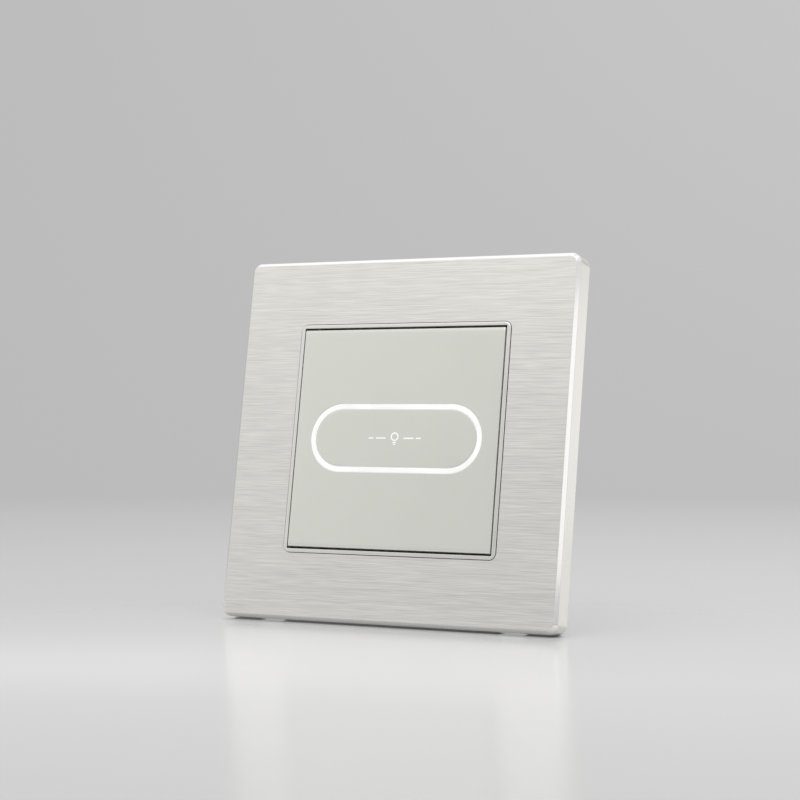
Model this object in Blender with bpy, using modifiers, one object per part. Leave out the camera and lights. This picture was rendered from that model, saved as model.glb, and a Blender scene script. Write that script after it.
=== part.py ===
"""Rocker wall switch: a square metal plate around a self-centring key with a light ring.

X runs to the right, Y into the wall and Z up. Sizes here are in millimetres, and depths are
measured from the wall plane, negative towards the room. The helpers turn both into metres.
"""

from math import cos, pi, sin, tau

import bmesh
import bpy

MM = 0.001
CLEARANCE = 0.3
OVERRUN = 1.0
OVERLAP = 0.4
MERGE = 1e-6
NEARLY_HALF = 1e-3
ROUND_STEPS = 16
SMALL_STEPS = 12

# Face plate
PLATE_SIDE = 86.0
PLATE_DEPTH = 6.2
PLATE_WALL = 1.2
PLATE_CORNER = 2.4
PLATE_CORNER_STEPS = 8
PLATE_CHAMFER = 0.8
NOTCH_X = 31.0
NOTCH_WIDTH = 6.0
NOTCH_DEPTH = 3.1

# Bezel around the key, and the key
BEZEL_SIDE = 54.4
BEZEL_CORNER = 1.6
BEZEL_PROUD = 0.25
BEZEL_EDGE = 0.1
BEZEL_FLANGE = 1.0
BEZEL_FLANGE_GAP = 0.15
BEZEL_FLANGE_THICK = 0.6
GROOVE = 0.2
KEY_WIDTH = 51.93
KEY_HEIGHT = 51.78
KEY_PROUD = 0.5
KEY_SKIN = 1.5
KEY_DEPTH = 2.3
KEY_LIP = 1.2
KEY_EDGE = 0.15
KEY_SIDE_GAP = 0.35
KEY_END_GAP = 0.5
RING_LENGTH = 44.1
RING_HEIGHT = 16.0
RING_STROKE = 1.13
INLAY_GAP = 0.05
DIFFUSER_MARGIN = 1.5
DIFFUSER_DEPTH = 0.9
DIFFUSER_GAP = 0.1
HOOK_X = 15.0
HOOK_WIDTH = 4.0
HOOK_THICK = 1.4
HOOK_CATCH = 0.4
HOOK_BARB = 0.8

# Carrier frame inside the plate
CARRIER_GAP = 0.2
CARRIER_THICK = 0.8
TAB_WIDTH = 6.0
TAB_ALONG_ENDS = 8.0
TAB_ALONG_SIDES = 12.0
TAB_FOOT = 1.5
TAB_REACH = 0.2
TAB_GAP = 0.3
TAB_THICK = 0.5
CLIP_X = 31.5
CLIP_Z = 21.0
CLIP_WIDTH = 5.0
CLIP_THICK = 1.4
CLIP_TIP = -0.1
CLIP_BARB = 0.8
CLIP_BARB_GAP = 0.2
CLIP_SLACK = 0.7

# Rocking mechanism
PIVOT_DEPTH = 1.0
PIN_RADIUS = 1.0
PIN_RUNNING_GAP = 0.07
PIN_PRESS_GAP = 0.05
PIN_END_GAP = 0.2
PIN_EDGE = 0.15
CRADLE_FRONT = -0.3
CRADLE_THICK = 1.5
CRADLE_HALF_X = 18.0
CRADLE_HALF_Z = 19.4
CRADLE_WINDOW = (24.0, 20.0, 2.0)
LUG_RADIUS = 2.3
LUG_OUTER_X = 21.0
PLUNGER_Z = 17.0
STEM_RADIUS = 1.6
HEAD_RADIUS = 1.9
COLLAR_RADIUS = 3.0
COLLAR_THICK = 0.8
COLLAR_BACK = 3.4
NOSE_RADIUS = 1.0
NOSE_LENGTH = 1.5
BRIDGE_FRONT = 12.0
BRIDGE_LENGTH = 15.0
BRIDGE_THICK = 0.5
BRIDGE_RIVET_PROUD = 0.6
RIVET_RADIUS = 1.3
SPRING_TURNS = 4
SPRING_TURN_STEPS = 11
SPRING_RADIUS = 2.35
SPRING_WIRE = 0.3

# Yoke, fixed to the wall box
YOKE_SIDE = 76.0
YOKE_DEPTH = 2.2
YOKE_SHEET = 1.2
YOKE_OPENING = 51.6
SCREW_SPACING = 60.3
SLOT_WIDTH = 4.4
SLOT_LENGTH = 9.0
YOKE_CORNER = 4.0
YOKE_EDGE = 0.4
YOKE_SCREW_HOLE = 1.6

# Housing, circuit board and terminal case
HOUSING_SIDE = 50.8
HOUSING_WALL = 1.6
HOUSING_FRONT = -2.4
HOUSING_FLOOR = 8.0
HOUSING_BACK = 9.4
HOUSING_CORNER = 1.5
POST_INNER = 20.5
POST_HOLE_END = 4.0
BOSS_RADIUS = 2.4
BOSS_FRONT = 5.0
BOSS_SKIN = 0.8
FLANGE_HALF_X = 22.0
FLANGE_THICK = 2.6
FLANGE_BEYOND_SCREW = 3.5
FLANGE_SCREW_X = 18.0
FLANGE_SCREW_Z = 30.5
FLANGE_SCREW_HOLE = 1.55
BOARD_SIDE = 46.4
BOARD_FRONT = -2.6
BOARD_THICK = 1.0
BOARD_SCREW = 21.8
BOARD_SCREW_HOLE = 1.2
HOOK_SLOT_SPARE = (1.0, 1.4)
LED_SIZE = (3.0, 0.8, 1.6)
LED_X = 14.0
LED_Z = 7.4
LED_GAP = 0.1
CASE_SIDE = 48.8
CASE_WALL = 1.4
CASE_FRONT = 9.7
CASE_BACK = 27.3
CASE_SCREW_X = 20.8
CASE_SCREW_HOLE = 1.45
PILLAR_RADIUS = 2.9
RECESS_RADIUS = 2.3
RECESS_DEPTH = 1.6
WIRE_ENTRY = 2.2
SCREW_ACCESS = 2.6
TERMINAL_X = 15.5
TERMINAL_Z = 16.5
TERMINAL_SIZE = 7.0
TERMINAL_FRONT = 15.2
TERMINAL_BACK = 22.7
WIRE_DEPTH = 18.0
WIRE_BORE = 1.7
CLAMP_THREAD = 1.75
STRIP_FRONT = 14.3
STRIP_THICK = 0.6
STRIP_WIDTH = 4.0
STRIP_RIVET_PROUD = 0.35
CONTACT_X = 5.5
SUPPLY_PIN_X = -20.5
SUPPLY_PIN_RADIUS = 0.5
SUPPLY_END_SPARE = 1.5

# Screws, each as (head radius, head height) and (shank radius, shank length)
MOUNTING_SCREW = ((3.2, 1.3), (1.75, 25.0))
HOUSING_SCREW = ((2.2, 1.1), (1.25, 4.2))
BOARD_FIXING = ((1.5, 0.9), (0.9, 5.5))
CASE_SCREW = ((1.95, 1.1), (1.1, 18.0))
TERMINAL_SCREW = ((2.2, 1.6), (1.4, 3.2))
SCREW_EDGE = 0.4
SCREW_TIP = 0.5
CROSS_LENGTH = 1.2
CROSS_WIDTH = 0.26
CROSS_DEPTH = 0.55

# Depths that follow from the sizes above
FACE = -PLATE_DEPTH
SKIN_BACK = FACE + PLATE_WALL
KEY_FRONT = FACE - KEY_PROUD
KEY_SKIN_BACK = KEY_FRONT + KEY_SKIN
BOARD_BACK = BOARD_FRONT + BOARD_THICK
CRADLE_BACK = CRADLE_FRONT + CRADLE_THICK
YOKE_FRONT = -YOKE_DEPTH
YOKE_WEB_BACK = YOKE_FRONT + YOKE_SHEET
WALL_Y = -(KEY_FRONT + CASE_BACK) / 2

# The words that mirrored pieces are named with, and the direction each of them lies in
LEFT_RIGHT = (("left", -1), ("right", 1))
UPPER_LOWER = (("upper", 1), ("lower", -1))


def clear_scene():
    for item in list(bpy.data.objects):
        bpy.data.objects.remove(item, do_unlink=True)


def new_collection(name):
    group = bpy.data.collections.new(name)
    bpy.context.scene.collection.children.link(group)
    return group


clear_scene()
PARTS = new_collection("rocker_wall_switch")
CUTTERS = new_collection("cutters")


def new_empty(name, parent, depth):
    """An empty on the centre line, at a depth from its parent."""
    empty = bpy.data.objects.new(name, None)
    empty.empty_display_size = 5 * MM
    empty.parent = parent
    empty.location = (0, depth * MM, 0)
    PARTS.objects.link(empty)
    return empty


WALL = new_empty("wall_plane", None, WALL_Y)
ROCKER = new_empty("rocker_axis", WALL, PIVOT_DEPTH)
AXIS_DEPTH = {WALL: 0.0, ROCKER: PIVOT_DEPTH}


def new_material(name, colour, roughness, metallic=0.0, glow=0.0):
    material = bpy.data.materials.new(name)
    material.use_nodes = True
    shader = material.node_tree.nodes["Principled BSDF"]
    shader.inputs["Base Color"].default_value = (*colour, 1)
    shader.inputs["Roughness"].default_value = roughness
    shader.inputs["Metallic"].default_value = metallic
    shader.inputs["Emission Color"].default_value = (*colour, 1)
    shader.inputs["Emission Strength"].default_value = glow
    return material


BRUSHED = new_material("brushed_aluminium", (0.66, 0.65, 0.61), 0.35, 1.0)
SATIN_METAL = new_material("satin_bezel", (0.5, 0.5, 0.47), 0.35, 1.0)
KEY_SATIN = new_material("key_satin", (0.62, 0.63, 0.58), 0.3)
OPAL = new_material("opal_diffuser", (1.0, 1.0, 1.0), 0.4, glow=2.0)
IVORY = new_material("ivory_plastic", (0.72, 0.72, 0.68), 0.5)
GREY = new_material("grey_plastic", (0.2, 0.21, 0.22), 0.5)
WHITE = new_material("white_plastic", (0.75, 0.75, 0.73), 0.5)
BOARD = new_material("board_laminate", (0.02, 0.16, 0.07), 0.4)
LED = new_material("led_package", (0.9, 0.88, 0.7), 0.3, glow=1.0)
ZINC = new_material("zinc_steel", (0.55, 0.56, 0.58), 0.35, 1.0)
SPRING_STEEL = new_material("spring_steel", (0.4, 0.4, 0.42), 0.3, 1.0)
BRASS = new_material("brass", (0.75, 0.55, 0.22), 0.3, 1.0)
SILVER = new_material("silver_contact", (0.75, 0.74, 0.7), 0.25, 1.0)


# Outlines, as points around a flat shape


def rectangle(width, height, radius=0.0, centre=(0.0, 0.0), steps=4):
    """A rectangle with round corners, or square ones where the radius is 0."""
    points = []
    for quarter in range(4):
        turn = quarter * pi / 2
        side_x = 1 if quarter in (0, 3) else -1
        side_y = 1 if quarter in (0, 1) else -1
        corner_x = centre[0] + side_x * (width / 2 - radius)
        corner_y = centre[1] + side_y * (height / 2 - radius)
        count = steps if radius else 0
        for step in range(count + 1):
            angle = turn + (pi / 2) * step / max(count, 1)
            x = corner_x + radius * cos(angle)
            y = corner_y + radius * sin(angle)
            if not points or abs(points[-1][0] - x) + abs(points[-1][1] - y) > MERGE:
                points.append((x, y))
    return points


def stadium(length, height):
    return rectangle(length, height, height / 2 - NEARLY_HALF, steps=8)


def circle(radius, centre=(0.0, 0.0), steps=ROUND_STEPS):
    return [
        (centre[0] + radius * cos(tau * i / steps), centre[1] + radius * sin(tau * i / steps))
        for i in range(steps)
    ]


def plus(size, width):
    """A cross whose arms narrow outwards, as the recess in a screw's head."""
    reach = size / 2
    half = width / 2
    tip = 0.8 * half
    arm = [(reach, -tip), (reach, tip), (half, half)]
    points = []
    for _ in range(4):
        points += arm
        arm = [(-y, x) for x, y in arm]
    return points


# Solids


def finish(item, parent, material):
    """Files a piece with the parts, or with the cutters where it has no material."""
    item.parent = parent
    if material:
        PARTS.objects.link(item)
        item.data.materials.append(material)
    else:
        CUTTERS.objects.link(item)
        item.hide_render = True
        item.display_type = "WIRE"
    return item


def prism(name, outline, start, end, material=None, holes=(), parent=WALL, along="Y"):
    """A flat outline pushed along Y or X, from one depth to another, with holes through it.

    The outline is in X and Z where it runs along Y, and in Y and Z where it runs along X.
    """
    curve = bpy.data.curves.new(name, "CURVE")
    curve.dimensions = "2D"
    curve.fill_mode = "BOTH"
    curve.extrude = (end - start) / 2 * MM
    shift = AXIS_DEPTH[parent]
    for loop in (outline, *holes):
        spline = curve.splines.new("POLY")
        spline.points.add(len(loop) - 1)
        for point, (a, b) in zip(spline.points, loop):
            across = a if along == "Y" else a - shift
            point.co = (across * MM, b * MM, 0, 1)
        spline.use_cyclic_u = True
    guide = bpy.data.objects.new(name + "_curve", curve)
    CUTTERS.objects.link(guide)
    middle = (start + end) / 2
    if along == "Y":
        guide.location = (0, (middle - shift) * MM, 0)
        guide.rotation_euler = (pi / 2, 0, 0)
    else:
        guide.location = (middle * MM, 0, 0)
        guide.rotation_euler = (pi / 2, 0, pi / 2)
    bpy.context.view_layer.update()
    seen = guide.evaluated_get(bpy.context.evaluated_depsgraph_get())
    mesh = bpy.data.meshes.new_from_object(seen)
    placed = guide.matrix_world.copy()
    bpy.data.objects.remove(guide)
    mesh.name = name
    mesh.materials.clear()
    shape = bmesh.new()
    shape.from_mesh(mesh)
    bmesh.ops.remove_doubles(shape, verts=shape.verts, dist=MERGE)
    shape.to_mesh(mesh)
    shape.free()
    solid = bpy.data.objects.new(name, mesh)
    finish(solid, parent, material)
    solid.matrix_basis = placed
    return solid


def block(name, low, high, material=None, parent=WALL):
    """A box between two corners."""
    shift = AXIS_DEPTH[parent]
    size = [(b - a) * MM for a, b in zip(low, high)]
    mesh = bpy.data.meshes.new(name)
    shape = bmesh.new()
    bmesh.ops.create_cube(shape, size=1)
    bmesh.ops.scale(shape, vec=size, verts=shape.verts)
    shape.to_mesh(mesh)
    shape.free()
    solid = bpy.data.objects.new(name, mesh)
    finish(solid, parent, material)
    middle = [(a + b) / 2 * MM for a, b in zip(low, high)]
    solid.location = (middle[0], middle[1] - shift * MM, middle[2])
    return solid


def rod(name, radius, start, end, material=None, at=(0.0, 0.0), along="Y", parent=WALL):
    """A round bar along an axis; at gives its other two coordinates, in X, Y, Z order."""
    shift = AXIS_DEPTH[parent]
    mesh = bpy.data.meshes.new(name)
    shape = bmesh.new()
    bmesh.ops.create_cone(
        shape,
        cap_ends=True,
        segments=ROUND_STEPS,
        radius1=radius * MM,
        radius2=radius * MM,
        depth=(end - start) * MM,
    )
    shape.to_mesh(mesh)
    shape.free()
    mesh.shade_smooth()
    mesh.set_sharp_from_angle(angle=pi / 4)
    solid = bpy.data.objects.new(name, mesh)
    finish(solid, parent, material)
    middle = (start + end) / 2
    if along == "Y":
        place = (at[0], middle, at[1])
        solid.rotation_euler = (pi / 2, 0, 0)
    elif along == "X":
        place = (middle, at[0], at[1])
        solid.rotation_euler = (0, pi / 2, 0)
    else:
        place = (at[0], at[1], middle)
    solid.location = (place[0] * MM, (place[1] - shift) * MM, place[2] * MM)
    return solid


def turned(name, profile, at, material, steps=ROUND_STEPS):
    """A piece turned about an axis along Y, from (radius, depth) points, front to back."""
    mesh = bpy.data.meshes.new(name)
    front = profile[0][1]
    shape = bmesh.new()
    corners = [shape.verts.new((r * MM, 0, (front - depth) * MM)) for r, depth in profile]
    for first, second in zip(corners, corners[1:]):
        shape.edges.new((first, second))
    shape.to_mesh(mesh)
    shape.free()
    solid = bpy.data.objects.new(name, mesh)
    finish(solid, WALL, material)
    solid.location = (at[0] * MM, front * MM, at[1] * MM)
    solid.rotation_euler = (pi / 2, 0, 0)
    screw = solid.modifiers.new("turn", "SCREW")
    screw.steps = steps
    screw.render_steps = steps
    screw.use_merge_vertices = True
    screw.merge_threshold = MERGE
    return solid


def chamfer_front(item, width, segments=1):
    """Bevels the outline's edge on the side that faces the room."""
    shape = bmesh.new()
    shape.from_mesh(item.data)
    bmesh.ops.dissolve_limit(shape, angle_limit=1e-3, verts=shape.verts, edges=shape.edges)
    front = max(v.co.z for v in shape.verts)
    rim = [e for e in shape.edges if min(v.co.z for v in e.verts) > front - MERGE]
    bmesh.ops.bevel(
        shape,
        geom=rim,
        offset=width * MM,
        offset_type="OFFSET",
        segments=segments,
        profile=0.5,
        affect="EDGES",
    )
    shape.to_mesh(item.data)
    shape.free()


def combine(item, other, operation):
    modifier = item.modifiers.new(other.name, "BOOLEAN")
    modifier.operation = operation
    modifier.solver = "EXACT"
    modifier.object = other


def cut(item, cutter):
    combine(item, cutter, "DIFFERENCE")


def join(item, piece):
    combine(item, piece, "UNION")


def drill(item, name, radius, start, end, at, along="Y", parent=WALL):
    cut(item, rod(name, radius, start, end, at=at, along=along, parent=parent))


def four_corners(x, z):
    return [(sx * x, sz * z) for sx in (-1, 1) for sz in (-1, 1)]


# The plate and what it carries


def face_plate():
    plate = prism(
        "face_plate",
        rectangle(PLATE_SIDE, PLATE_SIDE, PLATE_CORNER, steps=PLATE_CORNER_STEPS),
        FACE,
        0,
        BRUSHED,
    )
    chamfer_front(plate, PLATE_CHAMFER)
    inside = PLATE_SIDE - 2 * PLATE_WALL
    cavity = rectangle(inside, inside, PLATE_CORNER - PLATE_WALL)
    cut(plate, prism("plate_cavity", cavity, SKIN_BACK, OVERRUN))
    opening = BEZEL_SIDE + 2 * GROOVE
    hole = rectangle(opening, opening, BEZEL_CORNER + GROOVE)
    cut(plate, prism("plate_opening", hole, FACE - OVERRUN, SKIN_BACK + OVERRUN))
    for side, sign in LEFT_RIGHT:
        centre = sign * NOTCH_X
        low = (centre - NOTCH_WIDTH / 2, -NOTCH_DEPTH, -PLATE_SIDE / 2 - OVERRUN)
        high = (centre + NOTCH_WIDTH / 2, OVERRUN, -PLATE_SIDE / 2 + PLATE_WALL + OVERRUN)
        cut(plate, block("notch_" + side, low, high))


def trim_bezel():
    """A collar that stands through the plate's opening, with a thin flange behind the plate."""
    flange_front = SKIN_BACK + BEZEL_FLANGE_GAP
    back = flange_front + BEZEL_FLANGE_THICK
    collar = rectangle(BEZEL_SIDE, BEZEL_SIDE, BEZEL_CORNER)
    bezel = prism("trim_bezel", collar, FACE - BEZEL_PROUD, back, SATIN_METAL)
    chamfer_front(bezel, BEZEL_EDGE)
    flange_side = BEZEL_SIDE + 2 * BEZEL_FLANGE
    flange = rectangle(flange_side, flange_side)
    join(bezel, prism("bezel_flange", flange, flange_front, back))
    window = rectangle(KEY_WIDTH + 2 * KEY_SIDE_GAP, KEY_HEIGHT + 2 * KEY_END_GAP)
    cut(bezel, prism("bezel_window", window, FACE - OVERRUN, OVERRUN))


def plate_carrier():
    """The plastic frame inside the plate: it holds the bezel and clips into the yoke."""
    web_front = SKIN_BACK + CARRIER_GAP
    web_back = web_front + CARRIER_THICK
    root = web_front + OVERLAP
    outside = PLATE_SIDE - 2 * PLATE_WALL - 2 * CLEARANCE
    opening = BEZEL_SIDE + 2 * BEZEL_FLANGE + 2 * CLEARANCE
    carrier = prism(
        "plate_carrier",
        rectangle(outside, outside, PLATE_CORNER - PLATE_WALL),
        web_front,
        web_back,
        IVORY,
        holes=[rectangle(opening, opening)],
    )
    edge = opening / 2
    tab_root = edge + TAB_FOOT
    tab_tip = BEZEL_SIDE / 2 + TAB_REACH
    tab_front = SKIN_BACK + BEZEL_FLANGE_GAP + BEZEL_FLANGE_THICK + TAB_GAP
    tab_back = tab_front + TAB_THICK
    tab = [
        (edge, root),
        (tab_root, root),
        (tab_root, tab_back),
        (tab_tip, tab_back),
        (tab_tip, tab_front),
        (edge, tab_front),
    ]
    for side, sign in LEFT_RIGHT:
        for level, up in UPPER_LOWER:
            name = f"{level}_{side}"
            profile = [(depth, up * height) for height, depth in tab]
            start = sign * TAB_ALONG_ENDS - TAB_WIDTH / 2
            end = start + TAB_WIDTH
            join(carrier, prism("tab_" + name, profile, start, end, along="X"))
            low_z = up * TAB_ALONG_SIDES - TAB_WIDTH / 2
            high_z = low_z + TAB_WIDTH
            foot = sorted((sign * edge, sign * tab_root))
            foot_low = (foot[0], root, low_z)
            foot_high = (foot[1], tab_back, high_z)
            join(carrier, block("tab_foot_" + name, foot_low, foot_high))
            lip = sorted((sign * tab_tip, sign * (edge + OVERLAP)))
            lip_low = (lip[0], tab_front, low_z)
            lip_high = (lip[1], tab_back, high_z)
            join(carrier, block("tab_lip_" + name, lip_low, lip_high))
            join(carrier, plate_clip(name, sign, up, root))


def plate_clip(name, sign, up, root):
    """A springy leg with a barb that catches behind the yoke's sheet."""
    barb = YOKE_WEB_BACK + CLIP_BARB_GAP
    inner = CLIP_X - CLIP_THICK / 2
    outer = CLIP_X + CLIP_THICK / 2
    low_z = up * CLIP_Z - CLIP_WIDTH / 2
    high_z = low_z + CLIP_WIDTH
    leg_x = sorted((sign * inner, sign * outer))
    barb_x = sorted((sign * CLIP_X, sign * (outer + CLIP_BARB)))
    leg = block("clip_leg_" + name, (leg_x[0], root, low_z), (leg_x[1], CLIP_TIP, high_z))
    hook = block("clip_barb_" + name, (barb_x[0], barb, low_z), (barb_x[1], CLIP_TIP, high_z))
    join(leg, hook)
    return leg


# The key, which rocks on the cradle


def rocker_key():
    key = prism(
        "rocker_key",
        rectangle(KEY_WIDTH, KEY_HEIGHT),
        KEY_FRONT,
        KEY_FRONT + KEY_DEPTH,
        KEY_SATIN,
        parent=ROCKER,
    )
    chamfer_front(key, KEY_EDGE, segments=2)
    hollow = rectangle(KEY_WIDTH - 2 * KEY_LIP, KEY_HEIGHT - 2 * KEY_LIP)
    cut(key, prism("key_hollow", hollow, KEY_SKIN_BACK, OVERRUN, parent=ROCKER))
    slot = stadium(RING_LENGTH + 2 * INLAY_GAP, RING_HEIGHT + 2 * INLAY_GAP)
    cut(key, prism("key_slot", slot, KEY_FRONT - OVERRUN, OVERRUN, parent=ROCKER))
    inner = CRADLE_HALF_Z + CLEARANCE
    root = KEY_SKIN_BACK - OVERLAP
    barb = CRADLE_BACK + CLEARANCE
    catch = CRADLE_HALF_Z - HOOK_CATCH
    hook = [
        (root, inner),
        (barb, inner),
        (barb, catch),
        (barb + HOOK_BARB, catch),
        (barb + HOOK_BARB, inner + HOOK_THICK),
        (root, inner + HOOK_THICK),
    ]
    for side, sign in LEFT_RIGHT:
        for level, up in UPPER_LOWER:
            profile = [(depth, up * height) for depth, height in hook]
            start = sign * HOOK_X - HOOK_WIDTH / 2
            leg = prism(
                f"key_hook_{level}_{side}",
                profile,
                start,
                start + HOOK_WIDTH,
                parent=ROCKER,
                along="X",
            )
            join(key, leg)


def ring_diffuser():
    """An opal plate behind the key, whose raised rib fills the slot and shows as the ring."""
    front = KEY_SKIN_BACK + DIFFUSER_GAP
    back = front + DIFFUSER_DEPTH
    base = stadium(RING_LENGTH + 2 * DIFFUSER_MARGIN, RING_HEIGHT + 2 * DIFFUSER_MARGIN)
    diffuser = prism("ring_diffuser", base, front, back, OPAL, parent=ROCKER)
    rib = prism(
        "ring_rib",
        stadium(RING_LENGTH, RING_HEIGHT),
        KEY_FRONT,
        front + OVERLAP,
        holes=[stadium(RING_LENGTH - 2 * RING_STROKE, RING_HEIGHT - 2 * RING_STROKE)],
        parent=ROCKER,
    )
    join(diffuser, rib)


def key_inlay():
    """The pill inside the ring, level with the key."""
    inset = 2 * (RING_STROKE + INLAY_GAP)
    pill = stadium(RING_LENGTH - inset, RING_HEIGHT - inset)
    prism("key_inlay", pill, KEY_FRONT, KEY_SKIN_BACK, KEY_SATIN, parent=ROCKER)


def rocker_cradle():
    outline = rectangle(2 * CRADLE_HALF_X, 2 * CRADLE_HALF_Z, 1.0, steps=2)
    window = rectangle(*CRADLE_WINDOW, steps=2)
    cradle = prism(
        "rocker_cradle",
        outline,
        CRADLE_FRONT,
        CRADLE_BACK,
        WHITE,
        holes=[window],
        parent=ROCKER,
    )
    bore = PIN_RADIUS + PIN_RUNNING_GAP
    lug = circle(LUG_RADIUS, (PIVOT_DEPTH, 0))
    for side, sign in LEFT_RIGHT:
        start, end = sorted((sign * (CRADLE_HALF_X - OVERRUN), sign * LUG_OUTER_X))
        join(cradle, prism("lug_" + side, lug, start, end, parent=ROCKER, along="X"))
        at = (PIVOT_DEPTH, 0)
        start -= OVERRUN
        end += OVERRUN
        drill(cradle, "lug_bore_" + side, bore, start, end, at, "X", ROCKER)


# The housing and the pieces in it


def pivot_pins():
    for side, sign in LEFT_RIGHT:
        inner = CRADLE_HALF_X + PIN_END_GAP
        outer = HOUSING_SIDE / 2 - PIN_END_GAP
        ends = sorted((sign * inner, sign * outer))
        pin = rod("pivot_pin_" + side, PIN_RADIUS, *ends, SPRING_STEEL, (PIVOT_DEPTH, 0), "X")
        bevel = pin.modifiers.new("edges", "BEVEL")
        bevel.width = PIN_EDGE * MM
        bevel.segments = 1
        bevel.limit_method = "ANGLE"


def housing_cavity():
    """The inside of the housing, which leaves a square post in each corner."""
    half = HOUSING_SIDE / 2 - HOUSING_WALL
    corner = POST_INNER - OVERLAP
    quarter = [(half, -POST_INNER), (half, POST_INNER), (corner, corner)]
    points = []
    for _ in range(4):
        points += quarter
        quarter = [(-y, x) for x, y in quarter]
    return points


def mechanism_housing():
    housing = prism(
        "mechanism_housing",
        rectangle(HOUSING_SIDE, HOUSING_SIDE, HOUSING_CORNER, steps=3),
        HOUSING_FRONT,
        HOUSING_BACK,
        WHITE,
    )
    inside = HOUSING_SIDE - 2 * HOUSING_WALL
    seat = rectangle(inside, inside)
    post_top = BOARD_BACK + CLEARANCE
    cut(housing, prism("board_seat", seat, HOUSING_FRONT - OVERRUN, post_top))
    cut(housing, prism("housing_cavity", housing_cavity(), post_top - OVERRUN, HOUSING_FLOOR))
    before_floor = HOUSING_FLOOR - OVERRUN
    behind = HOUSING_BACK + OVERRUN
    flange_front = YOKE_WEB_BACK + CLEARANCE
    flange_back = flange_front + FLANGE_THICK
    flange_inner = HOUSING_SIDE / 2 - OVERLAP
    flange_outer = FLANGE_SCREW_Z + FLANGE_BEYOND_SCREW
    for level, up in UPPER_LOWER:
        reach = sorted((up * flange_inner, up * flange_outer))
        low = (-FLANGE_HALF_X, flange_front, reach[0])
        high = (FLANGE_HALF_X, flange_back, reach[1])
        join(housing, block("flange_" + level, low, high))
        at = (0, up * PLUNGER_Z)
        drill(housing, "guide_" + level, STEM_RADIUS + CLEARANCE, before_floor, behind, at)
        at = (SUPPLY_PIN_X, up * TERMINAL_Z)
        supply_hole = SUPPLY_PIN_RADIUS + CLEARANCE
        drill(housing, "supply_hole_" + level, supply_hole, before_floor, behind, at)
    for side, sign in LEFT_RIGHT:
        at = (sign * CASE_SCREW_X, 0)
        boss = rod("boss_" + side, BOSS_RADIUS, BOSS_FRONT, HOUSING_FLOOR + OVERLAP, at=at)
        join(housing, boss)
        drill(housing, "boss_hole_" + side, CASE_SCREW_HOLE, BOSS_FRONT + BOSS_SKIN, behind, at)
    pin_end = HOUSING_SIDE / 2 + OVERRUN
    pin_bore = PIN_RADIUS + PIN_PRESS_GAP
    drill(housing, "pin_bore", pin_bore, -pin_end, pin_end, (PIVOT_DEPTH, 0), "X")
    start = flange_front - OVERRUN
    end = flange_back + OVERRUN
    for number, at in enumerate(four_corners(FLANGE_SCREW_X, FLANGE_SCREW_Z)):
        drill(housing, f"flange_hole_{number}", FLANGE_SCREW_HOLE, start, end, at)
    start = post_top - OVERRUN
    for number, at in enumerate(board_screw_places()):
        drill(housing, f"post_hole_{number}", BOARD_SCREW_HOLE, start, POST_HOLE_END, at)


def board_screw_places():
    return [(-BOARD_SCREW, BOARD_SCREW), (BOARD_SCREW, -BOARD_SCREW)]


def led_board():
    hook_z = CRADLE_HALF_Z + CLEARANCE + HOOK_THICK / 2
    slot_width = HOOK_WIDTH + HOOK_SLOT_SPARE[0]
    slot_height = HOOK_THICK + HOOK_SLOT_SPARE[1]
    holes = []
    for at in four_corners(HOOK_X, hook_z):
        holes.append(rectangle(slot_width, slot_height, centre=at))
    for at in board_screw_places():
        holes.append(circle(BOARD_SCREW_HOLE, at, SMALL_STEPS))
    for _, up in UPPER_LOWER:
        at = (SUPPLY_PIN_X, up * TERMINAL_Z)
        holes.append(circle(SUPPLY_PIN_RADIUS + CLEARANCE, at, SMALL_STEPS))
    outline = rectangle(BOARD_SIDE, BOARD_SIDE)
    prism("led_board", outline, BOARD_FRONT, BOARD_BACK, BOARD, holes=holes)
    width, depth, height = LED_SIZE
    front = BOARD_FRONT - LED_GAP - depth
    places = [(x, z) for z in (LED_Z, -LED_Z) for x in (-LED_X, 0, LED_X)]
    for number, (x, z) in enumerate(places, 1):
        low = (x - width / 2, front, z - height / 2)
        high = (x + width / 2, front + depth, z + height / 2)
        block(f"led_{number}", low, high, LED)


def plunger(level, up):
    """A stem with a domed head, a collar for the spring and a nose that carries the bridge."""
    head = CRADLE_BACK + CLEARANCE
    collar_front = COLLAR_BACK - COLLAR_THICK
    seat = BRIDGE_FRONT - CLEARANCE
    tip = BRIDGE_FRONT + NOSE_LENGTH
    profile = [
        (0, head),
        (HEAD_RADIUS - 0.7, head + 0.1),
        (HEAD_RADIUS, head + 0.5),
        (STEM_RADIUS, head + 1.1),
        (STEM_RADIUS, collar_front),
        (COLLAR_RADIUS, collar_front),
        (COLLAR_RADIUS, COLLAR_BACK),
        (STEM_RADIUS, COLLAR_BACK),
        (STEM_RADIUS, seat),
        (NOSE_RADIUS, seat),
        (NOSE_RADIUS, tip - 0.3),
        (NOSE_RADIUS - 0.3, tip),
        (0, tip),
    ]
    turned(level + "_plunger", profile, (0, up * PLUNGER_Z), IVORY)


def rivet_places(up):
    return [(sign * CONTACT_X, up * PLUNGER_Z) for _, sign in LEFT_RIGHT]


def bridge_contact(level, up):
    """A springy strip with a contact rivet at each end, carried on the plunger's nose."""
    middle = (0, up * PLUNGER_Z)
    back = BRIDGE_FRONT + BRIDGE_THICK
    strip = prism(
        level + "_bridge_contact",
        rectangle(BRIDGE_LENGTH, STRIP_WIDTH, 0.8, middle, steps=2),
        BRIDGE_FRONT,
        back,
        SILVER,
        holes=[circle(NOSE_RADIUS + CLEARANCE, middle)],
    )
    for number, at in enumerate(rivet_places(up)):
        name = f"{level}_bridge_rivet_{number}"
        join(strip, rod(name, RIVET_RADIUS, back - 0.1, back + BRIDGE_RIVET_PROUD, at=at))


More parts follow.
